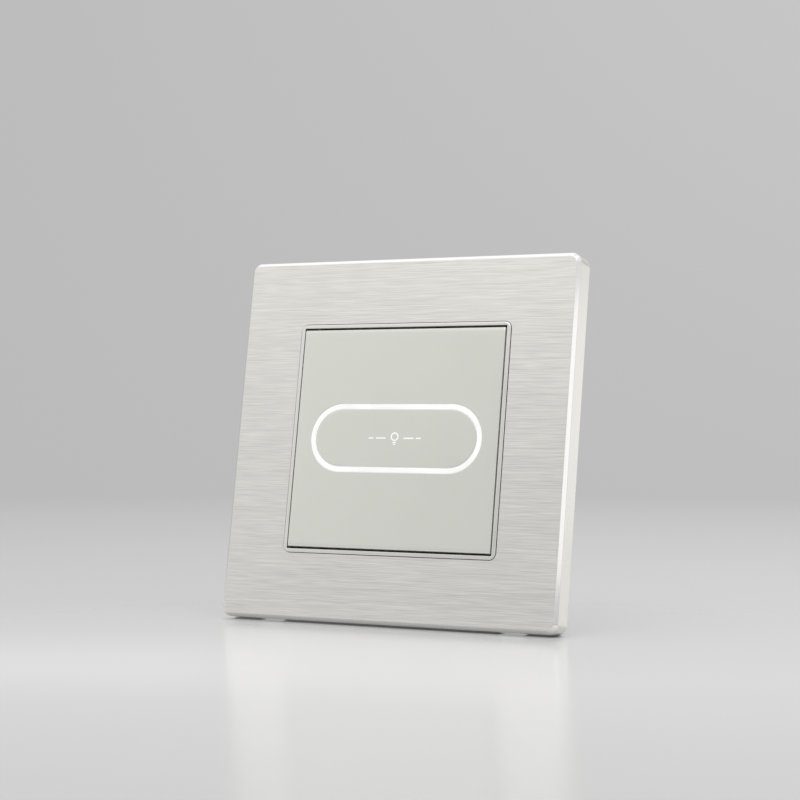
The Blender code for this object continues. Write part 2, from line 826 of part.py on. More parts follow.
def return_spring(level, up):
    """A coil between the plunger's collar and the housing's floor."""
    start = COLLAR_BACK + CLEARANCE + SPRING_WIRE
    end = HOUSING_FLOOR - CLEARANCE - SPRING_WIRE
    curve = bpy.data.curves.new(level + "_return_spring", "CURVE")
    curve.dimensions = "3D"
    curve.bevel_depth = SPRING_WIRE * MM
    curve.bevel_resolution = 2
    curve.use_fill_caps = True
    count = SPRING_TURNS * SPRING_TURN_STEPS
    coil = curve.splines.new("POLY")
    coil.points.add(count)
    for step, point in enumerate(coil.points):
        angle = tau * step / SPRING_TURN_STEPS
        rise = (end - start) * step / count
        x = SPRING_RADIUS * cos(angle)
        z = SPRING_RADIUS * sin(angle)
        point.co = (x * MM, rise * MM, z * MM, 1)
    spring = bpy.data.objects.new(level + "_return_spring", curve)
    finish(spring, WALL, SPRING_STEEL)
    spring.location = (0, start * MM, up * PLUNGER_Z * MM)


# Contacts, terminals and the case behind the housing


def fixed_contact(name, outline, rivets):
    """A flat brass strip, with a rivet facing each moving contact."""
    strip = prism(name, outline, STRIP_FRONT, STRIP_FRONT + STRIP_THICK, BRASS)
    front = STRIP_FRONT - STRIP_RIVET_PROUD
    for number, at in enumerate(rivets):
        rivet = rod(f"{name}_rivet_{number}", RIVET_RADIUS, front, STRIP_FRONT + 0.1, at=at)
        join(strip, rivet)


def fixed_contacts():
    half = STRIP_WIDTH / 2
    top = PLUNGER_Z + half
    inner = CONTACT_X - half
    outer = CONTACT_X + half
    terminal_end = TERMINAL_X + TERMINAL_SIZE / 2
    supply_end = -SUPPLY_PIN_X + SUPPLY_END_SPARE
    common = [
        (-outer, top),
        (-outer, -top + STRIP_WIDTH),
        (-supply_end, -top + STRIP_WIDTH),
        (-supply_end, -top),
        (-inner, -top),
        (-inner, top),
    ]
    left_rivets = [(-CONTACT_X, PLUNGER_Z), (-CONTACT_X, -PLUNGER_Z)]
    fixed_contact("common_contact", common, left_rivets)
    for level, up in UPPER_LOWER:
        middle = (inner + terminal_end) / 2
        outline = rectangle(terminal_end - inner, STRIP_WIDTH, centre=(middle, up * PLUNGER_Z))
        fixed_contact(level + "_fixed_contact", outline, [(CONTACT_X, up * PLUNGER_Z)])
    neutral_end = TERMINAL_X - TERMINAL_SIZE / 2
    middle = -(supply_end + neutral_end) / 2
    outline = rectangle(supply_end - neutral_end, STRIP_WIDTH, centre=(middle, PLUNGER_Z))
    fixed_contact("neutral_contact", outline, [])


def supply_pins():
    """Two pins that feed the circuit board from the live and neutral strips."""
    for name, up in (("supply_pin_neutral", 1), ("supply_pin_live", -1)):
        at = (SUPPLY_PIN_X, up * TERMINAL_Z)
        end = STRIP_FRONT - CLEARANCE
        rod(name, SUPPLY_PIN_RADIUS, BOARD_FRONT - CLEARANCE, end, BRASS, at)


def terminal_places():
    return (
        ("neutral", -TERMINAL_X, TERMINAL_Z),
        ("live", -TERMINAL_X, -TERMINAL_Z),
        ("upper_load", TERMINAL_X, TERMINAL_Z),
        ("lower_load", TERMINAL_X, -TERMINAL_Z),
    )


def terminals():
    """Brass blocks: the wire goes in from above or below, and the screw from behind."""
    half = TERMINAL_SIZE / 2
    for name, x, z in terminal_places():
        low = (x - half, TERMINAL_FRONT, z - half)
        high = (x + half, TERMINAL_BACK, z + half)
        clamp = block("terminal_" + name, low, high, BRASS)
        reach = half + OVERRUN
        at = (x, WIRE_DEPTH)
        drill(clamp, "wire_bore_" + name, WIRE_BORE, z - reach, z + reach, at, "Z")
        behind = TERMINAL_BACK + OVERRUN
        drill(clamp, "thread_" + name, CLAMP_THREAD, WIRE_DEPTH, behind, (x, z))


def terminal_case():
    case = prism(
        "terminal_case",
        rectangle(CASE_SIDE, CASE_SIDE, HOUSING_CORNER, steps=3),
        CASE_FRONT,
        CASE_BACK,
        GREY,
    )
    inside = CASE_SIDE - 2 * CASE_WALL
    inner_back = CASE_BACK - CASE_WALL
    start = CASE_FRONT - OVERRUN
    behind = CASE_BACK + OVERRUN
    cut(case, prism("case_hollow", rectangle(inside, inside), start, inner_back))
    for side, sign in LEFT_RIGHT:
        at = (sign * CASE_SCREW_X, 0)
        pillar = rod("pillar_" + side, PILLAR_RADIUS, CASE_FRONT, inner_back + OVERLAP, at=at)
        join(case, pillar)
        drill(case, "pillar_hole_" + side, CASE_SCREW_HOLE, start, behind, at)
        drill(case, "pillar_recess_" + side, RECESS_RADIUS, CASE_BACK - RECESS_DEPTH, behind, at)
        at = (sign * TERMINAL_X, WIRE_DEPTH)
        drill(case, "wire_entry_" + side, WIRE_ENTRY, -CASE_SIDE, CASE_SIDE, at, "Z")
    for name, x, z in terminal_places():
        drill(case, "screw_access_" + name, SCREW_ACCESS, inner_back - 0.5, behind, (x, z))


# The yoke that stands against the wall, and the fasteners


def mounting_yoke():
    """A drawn steel pan: its rim stands on the wall, and its sheet carries the housing."""
    yoke = prism(
        "mounting_yoke",
        rectangle(YOKE_SIDE, YOKE_SIDE, YOKE_CORNER),
        YOKE_FRONT,
        0,
        ZINC,
    )
    chamfer_front(yoke, YOKE_EDGE)
    inside = YOKE_SIDE - 2 * YOKE_SHEET
    pan = rectangle(inside, inside, YOKE_CORNER - YOKE_SHEET)
    cut(yoke, prism("yoke_pan", pan, YOKE_WEB_BACK, OVERRUN))
    holes = [rectangle(YOKE_OPENING, YOKE_OPENING, HOUSING_CORNER, steps=2)]
    end_radius = SLOT_WIDTH / 2 - NEARLY_HALF
    for _, sign in LEFT_RIGHT:
        at = (sign * SCREW_SPACING / 2, 0)
        holes.append(rectangle(SLOT_WIDTH, SLOT_LENGTH, end_radius, at))
    for at in four_corners(CLIP_X, CLIP_Z):
        holes.append(rectangle(CLIP_THICK + CLIP_SLACK, CLIP_WIDTH + CLIP_SLACK, centre=at))
    for at in four_corners(FLANGE_SCREW_X, FLANGE_SCREW_Z):
        holes.append(circle(YOKE_SCREW_HOLE, at))
    for number, hole in enumerate(holes):
        cut(yoke, prism(f"yoke_hole_{number}", hole, YOKE_FRONT - OVERRUN, OVERRUN))


def pan_screw(name, at, seat, size, facing=-1):
    """A pan-head screw with a cross recess, its head standing on the depth called seat.

    facing is -1 for a head towards the room, or 1 for one towards the wall.
    """
    (head_radius, head_height), (shank_radius, length) = size
    edge = min(SCREW_EDGE, head_height / 3)
    profile = [
        (0, head_height),
        (head_radius - edge, head_height),
        (head_radius, head_height - edge),
        (head_radius, 0),
        (shank_radius, 0),
        (shank_radius, SCREW_TIP - length),
        (shank_radius - SCREW_EDGE, -length),
        (0, -length),
    ]
    if facing < 0:
        points = [(r, seat - height) for r, height in profile]
    else:
        points = [(r, seat + height) for r, height in reversed(profile)]
    screw = turned(name, points, at, ZINC, SMALL_STEPS)
    cross = plus(head_radius * CROSS_LENGTH, head_radius * CROSS_WIDTH)
    recess = [(x + at[0], z + at[1]) for x, z in cross]
    top = seat + facing * head_height
    floor = top - facing * head_height * CROSS_DEPTH
    ends = sorted((top + facing * OVERRUN, floor))
    cut(screw, prism(name + "_recess", recess, *ends))


def screws():
    yoke_seat = YOKE_FRONT - CLEARANCE
    case_seat = CASE_BACK - RECESS_DEPTH + CLEARANCE
    for side, sign in LEFT_RIGHT:
        at = (sign * SCREW_SPACING / 2, 0)
        pan_screw("mounting_screw_" + side, at, yoke_seat, MOUNTING_SCREW)
        at = (sign * CASE_SCREW_X, 0)
        pan_screw("case_screw_" + side, at, case_seat, CASE_SCREW, facing=1)
    for number, at in enumerate(four_corners(FLANGE_SCREW_X, FLANGE_SCREW_Z), 1):
        pan_screw(f"housing_screw_{number}", at, yoke_seat, HOUSING_SCREW)
    for number, at in enumerate(board_screw_places(), 1):
        pan_screw(f"board_screw_{number}", at, BOARD_FRONT - CLEARANCE, BOARD_FIXING)
    for name, x, z in terminal_places():
        seat = TERMINAL_BACK + CLEARANCE
        pan_screw("terminal_screw_" + name, (x, z), seat, TERMINAL_SCREW, facing=1)


def build():
    face_plate()
    trim_bezel()
    plate_carrier()
    rocker_key()
    ring_diffuser()
    key_inlay()
    rocker_cradle()
    pivot_pins()
    mechanism_housing()
    led_board()
    for level, up in UPPER_LOWER:
        plunger(level, up)
        bridge_contact(level, up)
        return_spring(level, up)
    fixed_contacts()
    supply_pins()
    terminals()
    terminal_case()
    mounting_yoke()
    screws()


build()
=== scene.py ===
"""Finished looks of the rocker wall switch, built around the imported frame.

Shapes are worked out in millimetres: X to the right, Z up, and depths measured from the wall
plane, negative towards the room. Each piece is moved into the row frame as it is made.
"""

from math import cos, floor, hypot, pi, radians, sin, tau

import bmesh
import bpy
from mathutils import Matrix, Vector

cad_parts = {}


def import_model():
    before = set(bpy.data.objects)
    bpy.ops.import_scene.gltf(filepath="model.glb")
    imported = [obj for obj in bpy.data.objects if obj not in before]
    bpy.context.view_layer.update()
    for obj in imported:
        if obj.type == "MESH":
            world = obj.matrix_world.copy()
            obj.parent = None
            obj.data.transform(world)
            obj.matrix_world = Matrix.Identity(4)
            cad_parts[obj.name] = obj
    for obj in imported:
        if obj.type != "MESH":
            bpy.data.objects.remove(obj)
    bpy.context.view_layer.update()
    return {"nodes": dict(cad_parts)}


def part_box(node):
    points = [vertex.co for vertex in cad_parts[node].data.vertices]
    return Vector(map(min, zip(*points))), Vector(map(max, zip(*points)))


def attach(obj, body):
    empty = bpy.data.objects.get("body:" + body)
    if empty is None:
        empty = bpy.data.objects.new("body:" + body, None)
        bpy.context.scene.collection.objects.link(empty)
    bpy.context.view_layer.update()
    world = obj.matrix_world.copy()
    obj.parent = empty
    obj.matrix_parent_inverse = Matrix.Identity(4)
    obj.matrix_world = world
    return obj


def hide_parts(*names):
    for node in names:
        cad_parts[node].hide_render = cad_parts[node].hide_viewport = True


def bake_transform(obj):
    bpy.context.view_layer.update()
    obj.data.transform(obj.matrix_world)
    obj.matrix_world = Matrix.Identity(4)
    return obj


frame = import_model()

MM = 0.001
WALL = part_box("face_plate")[1].y / MM
TO_ROW = Matrix.Scale(MM, 4) @ Matrix.Translation((0, WALL, 0))


class Extent:
    """A CAD node's box in millimetres, with its depths measured from the wall plane."""

    def __init__(self, node):
        low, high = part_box(node)
        self.low = low / MM - Vector((0, WALL, 0))
        self.high = high / MM - Vector((0, WALL, 0))
        self.size = self.high - self.low
        self.middle = (self.low + self.high) / 2
        self.front = self.low.y
        self.back = self.high.y


PLATE = Extent("face_plate")
BEZEL = Extent("trim_bezel")
KEY = Extent("rocker_key")
INLAY = Extent("key_inlay")
DIFFUSER = Extent("ring_diffuser")
YOKE = Extent("mounting_yoke")
HOUSING = Extent("mechanism_housing")
CASE = Extent("terminal_case")

# Plate, bezel and key
PLATE_CORNER = 2.4
PLATE_CHAMFER = 0.8
PLATE_WALL = 1.2
PLATE_RIM_EDGE = 0.12
CHAMFER_EDGE = 0.07
SKIN_BACK = PLATE.front + PLATE_WALL
PLATE_OPENING = 54.8
OPENING_CORNER = 1.8
NOTCH_X = 31.0
NOTCH_WIDTH = 6.0
NOTCH_DEPTH = 3.1
BEZEL_FLANGE = 0.6
COLLAR_SIDE = 54.54
COLLAR_CORNER = 1.6
COLLAR_EDGE = 0.22
WINDOW = (52.63, 52.78)
WINDOW_EDGE = 0.1
KEY_WIDER = 0.12
KEY_CORNER = 0.2
KEY_EDGE = 0.22
KEY_LIP = 1.2
KEY_LIP_BACK = -4.4
INLAY_EDGE = 0.14
SLOT = (44.2, 16.1)
SLOT_GAP = 0.05
RING_STROKE = 1.13
HOOK_X = 15.0
HOOK_WIDTH = 4.0

# The sign on the inlay: caps by width and drop below the bulb, dashes by start and length
MARK_STROKE = 0.28
MARK_HEIGHT = 0.02
BULB_RADIUS = 1.0
BULB_RAISED = 0.35
BULB_CAPS = ((0.9, 0.35), (0.6, 0.78))
DASHES = ((2.3, 2.6), (5.5, 1.3))

# Pieces behind the plate: ribs by length and place, and the funnel by radius and depth
YOKE_CORNER = 4.0
YOKE_SHEET = 1.2
YOKE_OPENING = 51.6
SCREW_X = 30.15
SLOT_SIZE = (4.4, 9.0)
CLIP_HOLE = (2.1, 5.7)
CLIP_AT = (31.5, 21.0)
YOKE_SCREW_HOLE = 3.2
BEAD_X = 35.0
BEAD_FOOT = (1.6, 30.0)
BEAD_CREST = (0.9, 29.3)
BEAD_RISE = 0.35
GROOVE = (0.9, 29.0)
BODY_CORNER = 1.5
HOUSING_WALL = 1.6
HOUSING_FLOOR = 8.0
FLANGE_WIDTH = 53.0
FLANGE_CORNER = 0.8
FLANGE_FRONT = -0.7
FLANGE_BACK = 1.9
FLANGE_SCREW_AT = (18.0, 30.5)
FLANGE_HOLE = 3.1
GUSSETS_X = (-21.4, -9.5, 0.0, 9.5, 21.4)
GUSSET_HALF = 0.5
POST_SIDE = 3.2
POST_FRONT = -1.2
PLUNGER_Z = 17.0
PLUNGER_HOLE = 3.8
PIN_HOLE = 2.1
SUPPLY_X = -20.5
SUPPLY_HOLE = 1.6
BOARD_SCREWS_AT = ((-21.8, 21.8), (21.8, -21.8))
BOARD_SCREW_HOLE = 2.4
PANEL_AT = (3.6, 12.5)
PANEL_SIZE = (7.6, 17.0)
PANEL_FLOOR_X = 24.9
CASE_WALL = 1.4
TERMINAL_AT = (15.5, 16.5)
WIRE_DEPTH = 18.0
WIRE_FUNNEL = ((3.3, -0.01), (3.2, 0.2), (2.2, 1.0), (2.2, 3.0))
RIB = 1.2
CROSS_RIBS = (26.0, 7.5)
SIDE_RIBS = (9.0, 6.5, 17.5)
CASE_SCREW_X = 20.8
CASE_SCREW_HOLE = 2.9
CASE_SCREW_HEAD = 4.6

# Screws: radius over the thread, height of the head and pitch
MOUNTING_SCREW = (1.75, 1.3, 0.6)
HOUSING_SCREW = (1.25, 1.1, 0.7)
BOARD_SCREW = (0.9, 0.9, 0.5)
CASE_SCREW = (1.1, 1.1, 0.7)
CLAMP_SCREW = (1.4, 1.6, 0.5)
SCREW_SIDES = 24

# How shapes are rounded, welded and shaded
FINE = 0.05
SIGNS = (-1, 1)
ROUNDING_STEPS = 3
SMALLEST_CORNER = 0.02
MERGED = 1e-4
BEVELLED_ANGLE = radians(40)
SHARP_ANGLE = radians(52)
BEVEL_STEPS = 2
KEPT_EDGE = 0.08

# Values the material nodes share
NOISE_MIDDLE = (0.3, 0.7)
COAT_ROUGHNESS = 0.15
EDGE_TURN = (0.995, 0.9)
# Grain and breaks of the lightened edges: rubbed wear, and painted highlight on some finishes
WEAR_AND_HIGHLIGHT_GRAIN = 0.9
WEAR_AND_HIGHLIGHT_BREAKS = (0.35, 0.65, 0.3, 1.0)
BEVEL_SAMPLES = 4
CLOSED_SAMPLES = 6

# Places of the colour sockets on the node that mixes colours
FIRST_COLOUR = 6
SECOND_COLOUR = 7
MIXED_COLOUR = 2


# Shapes: every solid is a row of closed loops joined by faces


def corners(at):
    """A point and its mirror images to the other side, below, and both."""
    return [(sx * at[0], sz * at[1]) for sx in SIGNS for sz in SIGNS]


def station(width, height, corner, depth, edge=0.0):
    """One level of a solid: a rounded rectangle, and how far its edge is rounded over."""
    return Vector((width, height, corner, depth)), edge


def square(side, corner, depth, edge=0.0):
    return station(side, side, corner, depth, edge)


def disc(radius, depth, edge=0.0):
    return square(2 * radius, radius, depth, edge)


def soften(levels, closed):
    """Replaces each level that has an edge radius with a short curve towards its neighbours."""
    result = []
    count = len(levels)
    for i, (level, edge) in enumerate(levels):
        inside = closed or 0 < i < count - 1
        if not edge or not inside:
            result.append(level)
            continue
        before = levels[i - 1][0]
        after = levels[(i + 1) % count][0]
        ends = []
        for other in (before, after):
            length = hypot((other[0] - level[0]) / 2, other[3] - level[3])
            just_under_half = 0.48
            ends.append(level.lerp(other, min(edge / max(length, 1e-6), just_under_half)))
        for step in range(ROUNDING_STEPS + 1):
            share = step / ROUNDING_STEPS
            first = ends[0].lerp(level, share)
            second = level.lerp(ends[1], share)
            result.append(first.lerp(second, share))
    return result


def rounded(width, height, corner, depth, steps, centre):
    """A rectangle's outline with round corners; a full radius makes a circle or a stadium."""
    points = []
    for quarter in range(4):
        side_x = 1 if quarter in (0, 3) else -1
        side_z = 1 if quarter in (0, 1) else -1
        x = centre[0] + side_x * (width / 2 - corner)
        z = centre[1] + side_z * (height / 2 - corner)
        for step in range(steps + 1):
            angle = (quarter + step / steps) * pi / 2
            points.append(Vector((x + corner * cos(angle), depth, z + corner * sin(angle))))
    return points


def add_loops(shape, loops, closed=False, turn=None):
    """Joins loops of equal length with faces, and closes the ends or joins them up."""
    rows = []
    for loop in loops:
        rows.append([shape.verts.new(turn @ point if turn else point) for point in loop])
    pairs = list(zip(rows, rows[1:]))
    if closed:
        pairs.append((rows[-1], rows[0]))
    for first, second in pairs:
        for i in range(len(first)):
            j = (i + 1) % len(first)
            shape.faces.new((first[i], first[j], second[j], second[i]))
    if not closed:
        shape.faces.new(rows[0])
        shape.faces.new(list(reversed(rows[-1])))


def add_solid(shape, levels, closed=False, steps=6, centre=(0.0, 0.0), turn=None):
    """A solid through its levels; a closed one is a ring that returns to its first level."""
    loops = []
    for width, height, corner, depth in soften(levels, closed):
        radius = min(max(corner, SMALLEST_CORNER), width / 2, height / 2)
        loops.append(rounded(width, height, radius, depth, steps, centre))
    add_loops(shape, loops, closed, turn)


def add_pad(shape, width, height, corner, start, end, centre=(0.0, 0.0), turn=None, steps=4):
    """A plain prism with round corners, as a pad, a rib or a cutter."""
    levels = [station(width, height, corner, start), station(width, height, corner, end)]
    add_solid(shape, levels, steps=steps, centre=centre, turn=turn)


def add_slab(shape, profile, middle, half, up):
    """A flat piece across X; its profile is in depth and height, and up is 1 or -1."""
    loops = []
    for x in (middle - half, middle + half):
        loops.append([Vector((x, depth, up * height)) for depth, height in profile])
    add_loops(shape, loops)


def add_rod(shape, diameter, start, end, centre, turn=None, steps=6):
    add_pad(shape, diameter, diameter, diameter / 2, start, end, centre, turn, steps)


def new_object(name, data):
    item = bpy.data.objects.new(name, data)
    bpy.context.scene.collection.objects.link(item)
    return item


def make(name, shape, *materials):
    """Turns a finished shape, in millimetres, into an object in the row frame."""
    bmesh.ops.remove_doubles(shape, verts=shape.verts, dist=MERGED)
    bmesh.ops.recalc_face_normals(shape, faces=shape.faces)
    bmesh.ops.transform(shape, matrix=TO_ROW, verts=shape.verts)
    mesh = bpy.data.meshes.new(name)
    shape.to_mesh(mesh)
    shape.free()
    for item in materials:
        mesh.materials.append(item)
    return new_object(name, mesh)


def solid(name, levels, *materials, closed=False, steps=6):
    """A piece made from its levels."""
    shape = bmesh.new()
    add_solid(shape, levels, closed, steps)
    return make(name, shape, *materials)


def combine(piece, shape, operation):
    """Joins a shape to a piece, or cuts it away, and keeps only the result."""
    other = make(piece.name + "_tool", shape, *piece.data.materials)
    modifier = piece.modifiers.new("combine", "BOOLEAN")
    modifier.operation = operation
    modifier.solver = "EXACT"
    modifier.use_self = True
    modifier.object = other
    graph = bpy.context.evaluated_depsgraph_get()
    result = bpy.data.meshes.new_from_object(piece.evaluated_get(graph))
    old = piece.data
    piece.modifiers.clear()
    piece.data = result
    result.name = piece.name
    bpy.data.meshes.remove(old)
    bpy.data.objects.remove(other)


def cut(piece, shape):
    combine(piece, shape, "DIFFERENCE")


def join(piece, shape):
    combine(piece, shape, "UNION")


def round_edges(piece, width):
    bevel = piece.modifiers.new("edges", "BEVEL")
    bevel.width = width * MM
    bevel.segments = BEVEL_STEPS
    bevel.limit_method = "ANGLE"
    bevel.angle_limit = BEVELLED_ANGLE


def finish(piece, body, slot, *nodes, edge=0.0):
    """Rounds sharp edges, smooths the shading and puts the piece in its place in the frame."""
    if edge:
        round_edges(piece, edge)
    piece.data.shade_smooth()
    piece.data.set_sharp_from_angle(angle=SHARP_ANGLE)
    normals = piece.modifiers.new("normals", "WEIGHTED_NORMAL")
    normals.keep_sharp = True
    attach(piece, body)
    if nodes:
        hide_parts(*nodes)


# Node trees, for the materials and the world


class Nodes:
    """A node tree and short ways to extend it."""

    def __init__(self, owner, place):
        owner.use_nodes = True
        self.owner = owner
        self.tree = owner.node_tree
        self.place = self.add("ShaderNodeTexCoord").outputs[place]

    def add(self, kind, **settings):
        node = self.tree.nodes.new(kind)
        for name, value in settings.items():
            setattr(node, name, value)
        return node

    def link(self, source, target):
        self.tree.links.new(source, target)

    def maths(self, operation, *terms):
        node = self.add("ShaderNodeMath", operation=operation)
        for slot, term in zip(node.inputs, terms):
            if isinstance(term, (int, float)):
                slot.default_value = term
            else:
                self.link(term, slot)
        return node.outputs[0]

    def dot(self, source, axis):
        node = self.add("ShaderNodeVectorMath", operation="DOT_PRODUCT")
        self.link(source, node.inputs[0])
        node.inputs[1].default_value = axis
        return node.outputs["Value"]

    def ramp(self, source, start, end, low=0.0, high=1.0, **settings):
        """Maps source from start..end to low..high, held at the ends."""
        node = self.add("ShaderNodeMapRange", **settings)
        node.inputs["From Min"].default_value = start
        node.inputs["From Max"].default_value = end
        node.inputs["To Min"].default_value = low
        node.inputs["To Max"].default_value = high
        self.link(source, node.inputs["Value"])
        return node.outputs[0]


class Finish(Nodes):
    """A procedural material, built up from grain, sheen, wear and roughness, with painted edge
    highlights and painted shade on some finishes.
    """

    def __init__(self, name, colour, roughness, metallic=0.0, coat=0.0):
        super().__init__(bpy.data.materials.new(name), "Object")
        self.surface = self.tree.nodes["Principled BSDF"]
        self.set("Base Color", (*colour, 1))
        self.set("Roughness", roughness)
        self.set("Metallic", metallic)
        self.set("Coat Weight", coat)
        self.set("Coat Roughness", COAT_ROUGHNESS)
        self.colour = self.value((*colour, 1), "ShaderNodeRGB")
        self.roughness = self.value(roughness, "ShaderNodeValue")
        self.height = None

    def set(self, name, value):
        self.surface.inputs[name].default_value = value

    def drive(self, name, source):
        self.link(source, self.surface.inputs[name])

    def value(self, value, kind):
        node = self.add(kind)
        node.outputs[0].default_value = value
        return node.outputs[0]

    def noise(self, size, detail=2.0, offset=(0.0, 0.0, 0.0)):
        """Noise around 0.5 with features of a size in millimetres: one number, or x, y and z."""
        sizes = size if isinstance(size, tuple) else (size, size, size)
        mapping = self.add("ShaderNodeMapping")
        mapping.inputs["Scale"].default_value = [1 / (MM * across) for across in sizes]
        mapping.inputs["Location"].default_value = offset
        self.link(self.place, mapping.inputs["Vector"])
        texture = self.add("ShaderNodeTexNoise")
        texture.inputs["Scale"].default_value = 1.0
        texture.inputs["Detail"].default_value = detail
        self.link(mapping.outputs[0], texture.inputs["Vector"])
        return texture.outputs["Fac"]

    def swing(self, source, low, high):
        """Spreads the middle of a noise's range over low..high."""
        return self.ramp(source, *NOISE_MIDDLE, low, high)

    def tint(self, source, amount):
        """Multiplies the colour by a grey that swings by amount either side of 1."""
        grey = self.swing(source, 1 - amount, 1 + amount)
        scale = self.add("ShaderNodeVectorMath", operation="SCALE")
        self.link(self.colour, scale.inputs[0])
        self.link(grey, scale.inputs["Scale"])
        self.colour = scale.outputs[0]

    def mix(self, source, colour, amount):
        """Blends another colour in where source is high."""
        node = self.add("ShaderNodeMix", data_type="RGBA")
        self.link(self.maths("MULTIPLY", source, amount), node.inputs["Factor"])
        self.link(self.colour, node.inputs[FIRST_COLOUR])
        node.inputs[SECOND_COLOUR].default_value = (*colour, 1)
        self.colour = node.outputs[MIXED_COLOUR]

    def vary_roughness(self, source, amount):
        change = self.swing(source, -amount, amount)
        self.roughness = self.maths("ADD", self.roughness, change)

    def relief(self, source, depth):
        """Adds a height in millimetres to the surface's fine relief."""
        scaled = self.maths("MULTIPLY", source, depth * MM)
        if self.height:
            scaled = self.maths("ADD", self.height, scaled)
        self.height = scaled

    def grain(self, source, tint, rough=0.0, relief=0.0):
        """Lets one texture tint the colour, vary the roughness and raise the surface."""
        self.tint(source, tint)
        if rough:
            self.vary_roughness(source, rough)
        if relief:
            self.relief(source, relief)

    def edges(self, radius):
        """1 along edges within about radius of them, and 0 on open faces."""
        bevel = self.add("ShaderNodeBevel", samples=BEVEL_SAMPLES)
        bevel.inputs["Radius"].default_value = radius * MM
        plain = self.add("ShaderNodeNewGeometry").outputs["Normal"]
        dot = self.add("ShaderNodeVectorMath", operation="DOT_PRODUCT")
        self.link(bevel.outputs[0], dot.inputs[0])
        self.link(plain, dot.inputs[1])
        return self.ramp(dot.outputs["Value"], *EDGE_TURN)

    def wear_and_highlight(self, radius, colour, amount, smoother=0.0):
        """Edges lightened to another colour, broken up so that they aren't even: rubbed wear, and
        on some finishes a painted highlight.
        """
        patchy = self.ramp(self.noise(WEAR_AND_HIGHLIGHT_GRAIN, 3.0), *WEAR_AND_HIGHLIGHT_BREAKS)
        worn_and_highlit = self.maths("MULTIPLY", self.edges(radius), patchy)
        self.mix(worn_and_highlit, colour, amount)
        if smoother:
            change = self.maths("MULTIPLY", worn_and_highlit, smoother)
            self.roughness = self.maths("SUBTRACT", self.roughness, change)

    def along(self, axis):
        """Distance along a direction from the object's origin, in metres."""
        return self.dot(self.place, axis)

    def open_air(self, reach):
        """1 in the open, falling to 0 where things within reach (in mm) close it in."""
        node = self.add("ShaderNodeAmbientOcclusion", samples=CLOSED_SAMPLES)
        node.inputs["Distance"].default_value = reach * MM
        return node.outputs["AO"]

    def shade(self, reach, colour, power=1.0):
        """Paints shade into the colour where things within reach (in mm) close a place in."""
        closed = self.maths("SUBTRACT", 1.0, self.open_air(reach))
        self.mix(self.maths("POWER", closed, power), colour, 1.0)

    def done(self):
        self.drive("Base Color", self.colour)
        self.drive("Roughness", self.roughness)
        if self.height:
            bump = self.add("ShaderNodeBump")
            bump.inputs["Distance"].default_value = 1.0
            self.link(self.height, bump.inputs["Height"])
            self.drive("Normal", bump.outputs[0])
        return self.owner


# Materials: sizes of grain are in millimetres, and heights of relief too


def brushed_metal():
    """Long fine scratches along X, some deeper, over a faint cloudiness, and a painted highlight
    along the edges.
    """
    look = Finish("brushed_face", (0.845, 0.835, 0.794), 0.38, 1.0)
    fine = look.noise((7.0, 0.4, 0.1), 1.0)
    long = look.noise((24.0, 0.6, 0.15), 1.0, (3.0, 0.0, 7.0))
    cloud = look.noise((24.0, 8.0, 5.0))
    look.grain(fine, 0.1, relief=0.004)
    look.grain(long, 0.06, 0.07, 0.006)
    look.grain(cloud, 0.006)
    # Painted highlight: a thin bright line along the face's edges, at the opening and the chamfer.
    look.wear_and_highlight(0.15, (1.0, 1.0, 0.97), 0.8)
    look.set("Anisotropic", 0.55)
    along = look.add("ShaderNodeCombineXYZ")
    along.inputs["X"].default_value = 1.0
    look.drive("Tangent", along.outputs[0])
    return look.done()


def polished_metal():
    """The cut chamfer: bright, with faint tool lines, and painted shade where the floor or other
    parts close it in.
    """
    look = Finish("polished_chamfer", (0.93, 0.925, 0.915), 0.1, 1.0)
    look.grain(look.noise(0.25), 0.015, 0.03, 0.0006)
    # Painted shade: the chamfer darkens where it faces the floor close by.
    look.shade(2.5, (0.3, 0.3, 0.29))
    return look.done()


def satin_metal(name, colour, roughness, grain=0.2, worn_and_highlit=0.5):
    """Bead-blasted metal with a fine even grain and lightened edges: rubbed wear, and on the bezel
    a painted highlight.
    """
    look = Finish(name, colour, roughness, 1.0)
    speckle = look.noise(grain, 3.0)
    cloud = look.noise(9.0, 3.0, (1.0, 2.0, 3.0))
    look.grain(speckle, 0.02, relief=0.002)
    look.grain(cloud, 0.02, 0.04)
    # Lightened edges by the given amount: rubbed wear, and on the bezel a painted highlight.
    look.wear_and_highlight(0.2, (0.98, 0.97, 0.95), worn_and_highlit, 0.1)
    return look.done()


def key_lacquer():
    """A satin, very slightly green lacquer with a soft clear coat, and a painted highlight along
    its rounded edges.
    """
    look = Finish("key_lacquer", (0.765, 0.776, 0.714), 0.21, 0.35, 0.25)
    speckle = look.noise(0.12)
    cloud = look.noise(16.0)
    look.grain(speckle, 0.01, relief=0.0008)
    look.grain(cloud, 0.008, 0.03)
    # Painted highlight: the rounded edges of the key and pill are lightened towards white.
    look.wear_and_highlight(0.2, (1.0, 1.0, 0.97), 0.85)
    return look.done()


def glowing(name, colour, shell, strength):
    """Opal plastic lit from behind, a little uneven over its length."""
    look = Finish(name, shell, 0.35)
    uneven = look.noise((7.0, 7.0, 3.0))
    look.grain(look.noise(0.15), 0.01, 0.04, 0.001)
    look.set("Emission Color", (*colour, 1))
    share = 0.07
    light = look.swing(uneven, strength * (1 - share), strength * (1 + share))
    look.drive("Emission Strength", light)
    return look.done()


